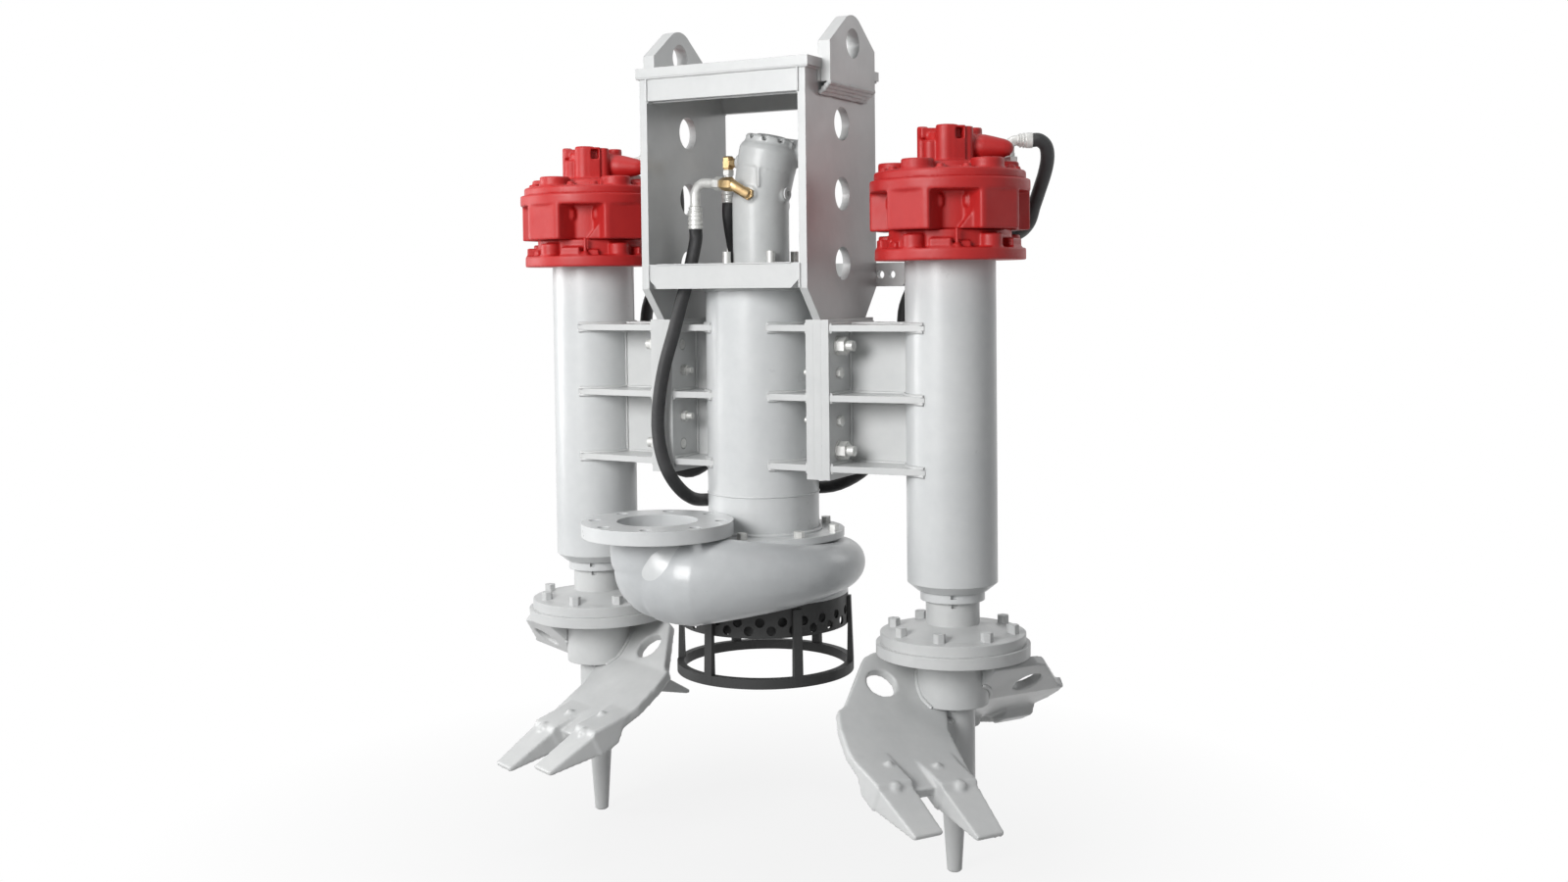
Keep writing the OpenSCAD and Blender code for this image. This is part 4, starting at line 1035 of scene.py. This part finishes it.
@dataclass
class Cutter:
    """One cutter's blades, cast with their tooth bosses, and the beads that hold them."""

    maker: Maker
    side: Side
    fold: tuple[float, float] = (-5.0, -1221.5)
    turn: float = -33.0
    left_phase: float = -33.0
    blade_slope: float = 26.5
    ear_slope: float = 42.0
    blade_t: float = 20.0
    bosses: tuple[Trio, ...] = ((208.0, -247.0, 13.0), (233.0, -131.0, 14.0), (152.0, -228.0, 8.0),
                                (176.0, -142.0, 8.0))
    collars: tuple[Trio, ...] = ((-1145.5, 68.0, 4.2), (-1237.5, 41.5, 4.0), (-1386.5, 33.0, 4.6))
    hub_seams: tuple[Trio, ...] = ((67.4, -1236.0, -1146.0), (41.4, -1386.0, -1238.0))

    @property
    def body(self) -> str:
        """The body that the cutter's pieces ride on."""
        return f"cutter_{self.side.value}"

    def place(self, u: float, w: float, z: float, half: int) -> Vector:
        """Puts a point of the blades into the row frame.

        Args:
            u: distance along the blades' slope direction from the axis, in millimetres.
            w: distance across it.
            z: height.
            half: 0 for the first blade, 1 for the opposite one.

        Returns:
            The point in metres.
        """
        angle = math.radians(self.turn + 180.0 * half + (self.left_phase if self.side is Side.LEFT else 0.0))
        x = u * math.cos(angle) - w * math.sin(angle)
        y = u * math.sin(angle) + w * math.cos(angle)
        return mm(self.side.sign * (x + SIDE_X), y, z)

    def on_plate(self, s: float, w: float, h: float, half: int) -> Vector:
        """Puts a point of a blade's face into the row frame.

        Args:
            s: distance down the slope from the fold.
            w: distance across from the axis.
            h: height off the face.
            half: which blade.

        Returns:
            The point in metres.
        """
        slope = math.radians(self.blade_slope)
        return self.place(self.fold[0] + s * math.cos(slope) + h * math.sin(slope), w,
                          self.fold[1] - s * math.sin(slope) + h * math.cos(slope), half)

    def seam(self, radius: float, low: float, high: float, half: int, back: bool) -> Points:
        """Points where a blade meets a round hub.

        Args:
            radius: the hub's radius.
            low: lowest height that counts.
            high: highest height that counts.
            half: which blade.
            back: whether it is the blade's under face.

        Returns:
            The points in metres.
        """
        out = []
        for turn in range(-178, -2, 2):
            u, w = radius * math.cos(math.radians(turn)), radius * math.sin(math.radians(turn))
            slope = math.radians(self.blade_slope if u > self.fold[0] else self.ear_slope)
            z = self.fold[1] - (u - self.fold[0]) * math.tan(slope)
            z -= self.blade_t / math.cos(slope) if back else 0.0
            if w < -22 and low < z < high:
                out.append(self.place(u, w, z, half))
        return out

    def build(self) -> None:
        """Makes the blades and their beads."""
        solid = f"cutter_blades_{self.side.value}"
        mesh = bmesh.new()
        mesh.from_mesh(bpy.data.objects[solid].data)
        for half in (0, 1):
            for s, w, size in self.bosses:
                bmesh.ops.create_icosphere(mesh, subdivisions=2, radius=size * MM,
                                           matrix=Matrix.Translation(self.on_plate(s, w, 5.0, half)))
        self.maker.cast(f"cutter_blades_forged_{self.side.value}", mesh, "cutter_paint", self.body, rounds=4,
                        stands_for=(solid,))
        welds = Welds(f"cutter_welds_{self.side.value}", "cutter_paint", self.body)
        for z, radius, size in self.collars:
            welds.add(ring((SIDE_X * self.side.sign, 0, z), radius), size, True)
        for half in (0, 1):
            for back in (False, True):
                for seam in self.hub_seams:
                    path = self.seam(*seam, half, back)
                    if len(path) > 3:
                        welds.add(path, 4.6)
            bead = [self.on_plate(s, -140.0 - 14 * math.sin(s * 0.02), 11.5, half)
                    for s in (232, 234, 236)]
            welds.add(bead, 5.0)
        welds.build(self.maker)


@dataclass
class SideMotor:
    """One radial piston motor: five cylinder banks round a star, on a bolted flange and under a valve cap."""

    maker: Maker
    side: Side
    bank_turn: float = -100.0
    bank_step: float = 72.0
    bank_half: float = 45.0
    bank_reach: float = 143.0
    core_r: float = 104.0
    flange: Trio = (-414.0, -392.0, 139.0)
    star: Trio = (-359.0, -289.0, 147.5)
    lid: Trio = (-267.0, -251.0, 139.5)
    cap_foot: float = -234.0
    cap_top: float = -168.0
    screw: Profile = ((0, 3), (2.5, 6.5), (6, 8.5), (19, 8.5), (22.5, 6.5), (25, 3))
    lobes: tuple[tuple[float, float, float, float], ...] = (
        (-148, 50, 10, 0), (-74, 42, 20, 0), (-24, 46, 12, 3), (40, 48, 15, 2), (96, 48, 14, 0),
        (150, 47, 14, 2))
    boss: Profile = ((20, 24), (64, 24), (78, 21.5), (102, 16.5), (112, 12), (117, 6))
    slot_turn: float = -47.0

    @property
    def banks(self) -> list[float]:
        """Turns of the five cylinder banks, in degrees."""
        return [self.bank_turn + self.bank_step * k for k in range(5)]

    def spot(self, turn: float, away: float, z: float) -> Vector:
        """Puts a point round the motor's axis into the row frame.

        Args:
            turn: its direction in degrees.
            away: its distance from the axis in millimetres.
            z: its height in millimetres.

        Returns:
            The point in metres.
        """
        a = math.radians(turn)
        return mm(SIDE_X * self.side.sign + away * math.cos(a), away * math.sin(a), z)

    def at(self, turn: float) -> Matrix:
        """Frame whose X points away from the axis at a turn."""
        return Matrix.Translation(self.spot(0.0, 0.0, 0.0)) @ Matrix.Rotation(math.radians(turn), 4, "Z")

    def peg(self, mesh: Shape, turn: float, away: float, low: float, high: float, radius: float,
            sides: int = 24) -> None:
        """Adds an upright peg with a softened top, or a hexagon head.

        Args:
            mesh: what it is added to.
            turn: its direction in degrees.
            away: its distance from the axis.
            low: its lowest height.
            high: its highest height.
            radius: its radius.
            sides: 6 for a hexagon.
        """
        tall = high - low
        profile = [(0, radius), (tall - 1.5, radius), (tall, radius - 1.5)]
        turned(mesh, self.spot(turn, away, low), UP, profile, sides)

    def prism(self, mesh: Shape, low: float, high: float) -> None:
        """Adds the five-armed star between two heights.

        Args:
            mesh: what it is added to.
            low: its lowest height.
            high: its highest height.
        """
        rim = []
        for turn in range(360):
            reach = self.core_r
            for bank in self.banks:
                off = math.radians((turn - bank + 180.0) % 360.0 - 180.0)
                if abs(off) < 1.2:
                    across = self.bank_half / max(abs(math.sin(off)), 1e-6)
                    reach = max(reach, min(self.bank_reach / math.cos(off), across))
            rim.append((turn, min(reach, self.star[2])))
        feet, tops = ([mesh.verts.new(self.spot(turn, reach, z)) for turn, reach in rim] for z in (low, high))
        ends = [mesh.verts.new(self.spot(0.0, 0.0, z)) for z in (low, high)]
        for k in range(360):
            after = (k + 1) % 360
            mesh.faces.new((feet[k], feet[after], tops[after], tops[k]))
            mesh.faces.new((feet[after], feet[k], ends[0]))
            mesh.faces.new((tops[k], tops[after], ends[1]))

    def gusset(self, mesh: Shape, turn: float) -> None:
        """Adds the wedge in the pocket between two banks.

        Args:
            mesh: what it is added to.
            turn: the pocket's direction in degrees.
        """
        low = self.star[0]
        corners = ((100, 36, low), (100, 36, -319), (100, 6, low),
                   (123, 36, low), (123, 36, -322), (123, 8, low))
        points = [mesh.verts.new(self.at(turn) @ mm(*corner)) for corner in corners]
        for face in ((0, 1, 2), (3, 5, 4), (0, 3, 4, 1), (1, 4, 5, 2), (2, 5, 3, 0)):
            mesh.faces.new([points[k] for k in face])

    def add_flange(self, mesh: Shape) -> None:
        """Adds the mounting flange, its neck, bolt drums, heads and bleed nipple."""
        low, high, radius = self.flange
        tall = high - low
        turned(mesh, self.spot(0, 0, low), UP, [(0, radius - 1), (1, radius), (tall - 2, radius),
                                                (tall, radius - 2)], 96)
        turned(mesh, self.spot(0, 0, high - 1), UP, [(0, 113), (34, 113)], 96)
        for bank in self.banks:
            self.peg(mesh, bank - 1, 117, high - 1, high + 25, 20.5)
            block(mesh, (110, -20, high - 1), (134, 20, high + 17), self.at(bank + 25))
            block(mesh, (104, -13, high - 1), (122, 13, high + 12), self.at(bank + 44))
        self.peg(mesh, -62, 126, high - 1, high + 6, 9.0, 6)
        self.peg(mesh, -62, 126, high, high + 36, 3.6)

    def add_star(self, mesh: Shape) -> None:
        """Adds the cylinder banks, the band over them, the pocket screws and gussets."""
        low, high, radius = self.star
        self.prism(mesh, low, high + 1)
        band = [(0, radius - 1.5), (1.5, radius), (20, radius), (22, radius - 2)]
        turned(mesh, self.spot(0, 0, high), UP, band, 96)
        for bank in self.banks:
            pocket = bank + self.bank_step / 2
            for off in (-13.5, 13.5):
                turned(mesh, self.spot(pocket + off, 109, -321), UP, self.screw, 24)
            self.gusset(mesh, pocket)

    def add_cap(self, mesh: Shape) -> None:
        """Adds the lid with its bank drums and screws, the lobed valve cap and the tapered boss."""
        low, high, radius = self.lid
        foot, top = self.cap_foot, self.cap_top
        turned(mesh, self.spot(0, 0, low - 1), UP, [(0, radius), (14, radius), (17, radius - 3)], 96)
        turned(mesh, self.spot(0, 0, high - 1), UP, [(0, 84), (16, 80), (18, 70)], 72)
        for bank in self.banks:
            pocket = bank + self.bank_step / 2
            self.peg(mesh, bank, 106, high - 1, foot + 2, 30.0, 48)
            for off in (-11.0, 11.0):
                self.peg(mesh, pocket + off, 122, high - 1, high + 8, 8.5, 6)
            block(mesh, (88, -16, high - 1), (112, 16, high + 5), self.at(pocket))
        self.peg(mesh, 0, 0, foot - 1, top - 12, 46.0, 64)
        for turn, away, size, drop in self.lobes:
            self.peg(mesh, turn, away, foot - 3, top - drop, size)
        self.peg(mesh, -112, 47, foot - 2, top - 28, 15.0)
        block(mesh, (14, -16, foot + 44), (56, 16, top - 3), self.at(-146))
        block(mesh, (-30, -30, top - 20), (30, 30, top - 4), self.at(-20))
        block(mesh, (20, -14, foot), (58, 10, top - 2), self.at(self.slot_turn))
        way = heading(16) - UP * 0.06
        turned(mesh, self.spot(0, 0, foot + 30), way, self.boss, 40)

    def cap_slot(self) -> Shape:
        """Gives the slot that is cut into the valve cap's front."""
        cut = bmesh.new()
        block(cut, (40, -9, self.cap_top - 26), (70, 7, self.cap_top - 6), self.at(self.slot_turn))
        return cut

    def build(self) -> None:
        """Casts the motor's three housings."""
        for part, add, cells in (("flange", self.add_flange, 2.4), ("star", self.add_star, 2.4),
                                 ("cap", self.add_cap, 2.0)):
            mesh = bmesh.new()
            add(mesh)
            self.maker.cast(f"{part}_housing_{self.side.value}", mesh, "motor_red", voxel_mm=cells,
                            cuts=(self.cap_slot(),) if part == "cap" else (),
                            stands_for=(f"side_motor_{part}_{self.side.value}",))


@dataclass
class PumpMotor:
    """The leaning piston motor on the floor plate, with its port bosses, cap and plug."""

    maker: Maker
    axis_x: float = 1.0
    foot_z: float = -427.0
    foot_r: float = 55.5
    knee_z: float = -290.0
    lean: float = 11.0
    lean_turn: float = 12.0
    plug_turn: float = -3.0
    cap_z: float = 108.0
    port_at: Spot = (0.0, 8.0, 100.0)
    barrel: Profile = ((0, 55.2), (34, 56.5), (60, 57.5), (60.5, 55.8), (63, 55.8), (63.5, 58.5),
                       (98, 58.5), (106, 55), (112, 50))
    cap: Profile = ((0, 50), (14, 50), (18, 46), (18.5, 30), (21, 26), (22, 12))
    port: Profile = ((0, 27), (60, 27), (62, 31), (76, 31), (78, 29))
    bosses: tuple[tuple[float, float, float, float], ...] = (
        (-84.0, SIDE_PORT_Z, 15.5, 58.5), (-3.0, SIDE_PORT_Z, 16.0, 61.5), (165.0, REAR_PORT_Z, 15.0, 57.5),
        (60.0, -300.0, 16.0, 60.0))
    notch_turns: tuple[float, ...] = (-165, -125, -88, -50, -12, 120)

    @property
    def tilt(self) -> Matrix:
        """Frame of the leaning barrel, from the knee."""
        return (Matrix.Translation(mm(self.axis_x, 0, self.knee_z))
                @ Matrix.Rotation(math.radians(self.lean_turn), 4, "Z")
                @ Matrix.Rotation(math.radians(self.lean), 4, "Y"))

    def add_bosses(self, mesh: Shape) -> None:
        """Adds the round port bosses and the small casting step.

        Args:
            mesh: what they are added to.
        """
        for turn, z, size, reach in self.bosses:
            profile = [(20, size + 3), (reach - 5, size + 3), (reach - 3, size), (reach - 1.2, size),
                       (reach, size - 1.2)]
            turned(mesh, mm(0, 0, z), heading(turn), profile, 40)
        block(mesh, (40, -2.5, -266), (62, 1.5, -230), Matrix.Rotation(math.radians(-63), 4, "Z"))

    def add_cap(self, mesh: Shape) -> tuple[Shape, ...]:
        """Adds the barrel's top cap and side port.

        Args:
            mesh: what they are added to.

        Returns:
            The cutters for its notches and opening.
        """
        ahead = self.tilt.to_3x3() @ UP
        aside = self.tilt.to_3x3() @ Vector((0.97, 0.20, 0.05))
        side_port = self.tilt @ mm(*self.port_at)
        turned(mesh, self.tilt @ mm(0, 0, self.cap_z), ahead, self.cap, 64)
        turned(mesh, side_port, aside, self.port, 48)
        block(mesh, (-16, -20, 76), (50, 38, 121), self.tilt)
        notches = bmesh.new()
        for turn in self.notch_turns:
            a = math.radians(turn)
            notch = self.tilt @ mm(43 * math.cos(a), 43 * math.sin(a), self.cap_z + 8)
            turned(notches, notch, ahead, [(0, 7.5), (30, 7.5)], 24)
        opening = bmesh.new()
        turned(opening, side_port + aside * (50 * MM), aside, [(0, 20), (60, 20)], 40)
        return notches, opening

    def build(self) -> None:
        """Casts the motor and fits its plug."""
        mesh = bmesh.new()
        drum = [(0, self.foot_r), (self.knee_z - self.foot_z, self.foot_r)]
        turned(mesh, mm(self.axis_x, 0, self.foot_z), UP, drum, 72)
        ball(mesh, mm(self.axis_x, 0, self.knee_z), 55.4)
        turned(mesh, self.tilt @ Vector((0, 0, 0)), self.tilt.to_3x3() @ UP, self.barrel, 72)
        self.add_bosses(mesh)
        self.maker.cast("pump_motor_casting", mesh, "motor_grey", voxel_mm=1.9, cuts=self.add_cap(mesh),
                        stands_for=("pump_motor_case", "pump_motor_barrel", "pump_motor_port_plate"))
        plug = bmesh.new()
        way = heading(self.plug_turn)
        turned(plug, mm(0, 0, SIDE_PORT_Z) + way * (60 * MM), way,
               [(0, 12.5), (3.6, 12.5), (4.6, 11.5), (4.6, 5.6), (1.0, 5.4)], 36)
        self.maker.piece("pump_motor_plug", plug, "motor_grey")


@dataclass
class Fittings:
    """Pipe elbows, nuts, adaptors and crimped ferrules at both ends of the hoses."""

    maker: Maker
    pipe_r: float = 9.8
    ferrule_r: float = 14.6
    crimp_step: float = 8.5
    front_bend_r: float = 27.0
    side_bend_r: float = 13.0
    front_corner_z: float = -254.0
    front_knee: Spot = (-19.0, -80.0, -261.0)
    front_turn: float = -84.0
    rear_turn: float = 165.0
    stem_foot_z: float = -234.0
    right_stem: tuple[float, float] = (486.0, 82.0)
    left_stem: tuple[float, float] = (-352.0, 86.0)

    def ferrule(self, mesh: Shape, start: Vector, ahead: Vector, length: float) -> None:
        """Adds a crimped ferrule.

        Args:
            mesh: what it is added to.
            start: its end next to the pipe, in metres.
            ahead: its direction.
            length: its length in millimetres.
        """
        r = self.ferrule_r
        profile = [(0, r - 4), (0.8, r - 1.2), (4, r - 1.2), (4.6, r - 2.6), (7, r - 2.6), (7.6, r)]
        at = 9.0
        while at < length - 8:
            profile += [(at, r), (at + 1.2, r - 0.9), (at + 3.4, r - 0.9), (at + 4.6, r)]
            at += self.crimp_step
        turned(mesh, start, ahead, profile + [(length - 1.2, r), (length, r - 1.4)], 32)

    def bend(self, corner: Vector, into: Vector, out: Vector, radius: float) -> Points:
        """Points round a pipe's quarter bend.

        Args:
            corner: where the two straight lines meet, in metres.
            into: direction towards the corner.
            out: direction away from it.
            radius: the bend's radius in millimetres.

        Returns:
            The points in metres.
        """
        centre = corner - into * (radius * MM) + out * (radius * MM)
        return [centre - out * (radius * MM) * math.cos(a) + into * (radius * MM) * math.sin(a)
                for a in (math.radians(7.5 * k) for k in range(13))]

    def run_down(self, start: Vector, way: Vector, corner: Vector, end_z: float, pipes: Shape) -> None:
        """Adds the nut, the pipe that turns down and its ferrule.

        Args:
            start: where the nut starts, in metres.
            way: direction of the pipe's level leg.
            corner: where the two legs meet, in metres.
            end_z: height of the ferrule's lower end, in millimetres.
            pipes: shape of the plated parts.
        """
        turned(pipes, start, way, [(0, 11.5), (1, 13.5), (15, 13.5), (16, 11.5), (18, 10.2)], 6)
        path = [start + way * (6 * MM)] + self.bend(corner, way, -UP, self.front_bend_r)
        sweep(pipes, path + [Vector((corner.x, corner.y, (end_z + 46) * MM))], self.pipe_r, 24)
        foot = Vector((corner.x, corner.y, (end_z + 47) * MM))
        turned(pipes, foot, -UP, [(0, 9), (1, 11), (3, 11), (4, 9)], 24)
        self.ferrule(pipes, foot - UP * (4 * MM), -UP, 44.0)

    def front(self, pipes: Shape, brass: Shape) -> None:
        """Adds the front port's bent brass adaptor and the pipe that leads to the right hose.

        Args:
            pipes: shape of the plated parts.
            brass: shape of the brass parts.
        """
        x, y, z = ROUTE_RIGHT[0]
        corner, knee, out = mm(x, y, self.front_corner_z), mm(*self.front_knee), heading(self.front_turn)
        port = mm(0, 0, SIDE_PORT_Z) + out * (58 * MM)
        way = (corner - knee).normalized()
        turned(brass, port, out, [(0, 11.5), (1, 12.5), (8, 12.5), (9, 11.0)], 6)
        elbow = [port, port + out * (11 * MM), port.lerp(knee, 0.62) + out * (4 * MM), knee]
        sweep(brass, elbow + [knee + way * (12 * MM)], 10.2, 24)
        nut = [(0, 11), (3, 14), (20, 14), (22, 12.4), (27, 12.2), (28, 10.8)]
        turned(brass, knee - way * (5 * MM), way, nut, 6)
        self.run_down(knee + way * (24 * MM), way, corner, z, pipes)

    def rear(self, pipes: Shape, brass: Shape) -> None:
        """Adds the rear port's brass elbow and the plated stem that leads down to the left hose.

        Args:
            pipes: shape of the plated parts.
            brass: shape of the brass parts.
        """
        x, y, z = ROUTE_LEFT[0]
        port = mm(0, 0, REAR_PORT_Z) + heading(self.rear_turn) * (56 * MM)
        corner = mm(x, y, REAR_PORT_Z + 2)
        turned(brass, port, corner - port, [(0, 11), (1, 12), (7, 12), (8, 9.2), (24, 9.2)], 6)
        turned(brass, corner + UP * (13 * MM), -UP, [(0, 9), (3, 12), (24, 12.5), (25, 10.5), (30, 10)], 6)
        turned(pipes, corner - UP * (14 * MM), -UP, [(0, 10.5), (1, 12), (11, 12), (12, 9.5), (16, 9.2)], 6)
        turned(pipes, corner - UP * (24 * MM), -UP, [(0, 8.6), (16, 8.6), (17, 11), (19, 11), (20, 9)], 24)
        self.ferrule(pipes, mm(x, y, z + 42), -UP, 43.0)

    def at_side(self, stem: tuple[float, float], end: Spot, pipes: Shape) -> None:
        """Adds a nut, a pipe elbow and a level ferrule on a side motor.

        Args:
            stem: the stem's place seen from above.
            end: where the hose ends.
            pipes: shape of the plated parts.
        """
        foot, corner, tip = mm(*stem, self.stem_foot_z), mm(*stem, end[2]), mm(*end)
        level = (tip - corner).normalized()
        turned(pipes, foot, UP, [(0, 15), (1, 16), (11, 16), (12, 14.5), (12.2, 11), (15, 11)], 6)
        turned(pipes, foot, UP, [(0, 10.5), (19, 10.5), (20, 9.5)], 24)
        path = [foot + UP * (12 * MM)] + self.bend(corner, UP, level, self.side_bend_r)
        sweep(pipes, path + [corner + level * (18 * MM)], self.pipe_r, 24)
        turned(pipes, corner + level * (15 * MM), level, [(0, 9), (0.8, 11), (2.6, 11), (3, 9)], 24)
        self.ferrule(pipes, corner + level * (18 * MM), level, (tip - corner).length / MM - 17)

    def build(self) -> None:
        """Makes the plated and the brass parts."""
        pipes, brass = bmesh.new(), bmesh.new()
        self.front(pipes, brass)
        self.rear(pipes, brass)
        self.at_side(self.right_stem, ROUTE_RIGHT[-1], pipes)
        self.at_side(self.left_stem, ROUTE_LEFT[-1], pipes)
        self.maker.piece("hose_pipe_elbows", pipes, "zinc_steel", stands_for=("hose_elbows",))
        self.maker.piece("brass_adaptors", brass, "brass_fitting", stands_for=("hose_adaptors",))


def main() -> None:
    """Builds the pump's pieces in order."""
    logging.basicConfig(level=logging.INFO, format="%(name)s: %(message)s")
    Studio().build()
    finishes = Finishes()
    finishes.build()
    for side, route in ((Side.RIGHT, ROUTE_RIGHT), (Side.LEFT, ROUTE_LEFT)):
        Hose(side, route).build(finishes)
    maker = Maker(finishes)
    Fittings(maker).build()
    Volute(maker).build()
    FrameWelds(maker).build()
    PumpMotor(maker).build()
    for side in Side:
        Cutter(maker, side).build()
        SideMotor(maker, side).build()
    finishes.cover_nodes()


if __name__ == "__main__":
    main()
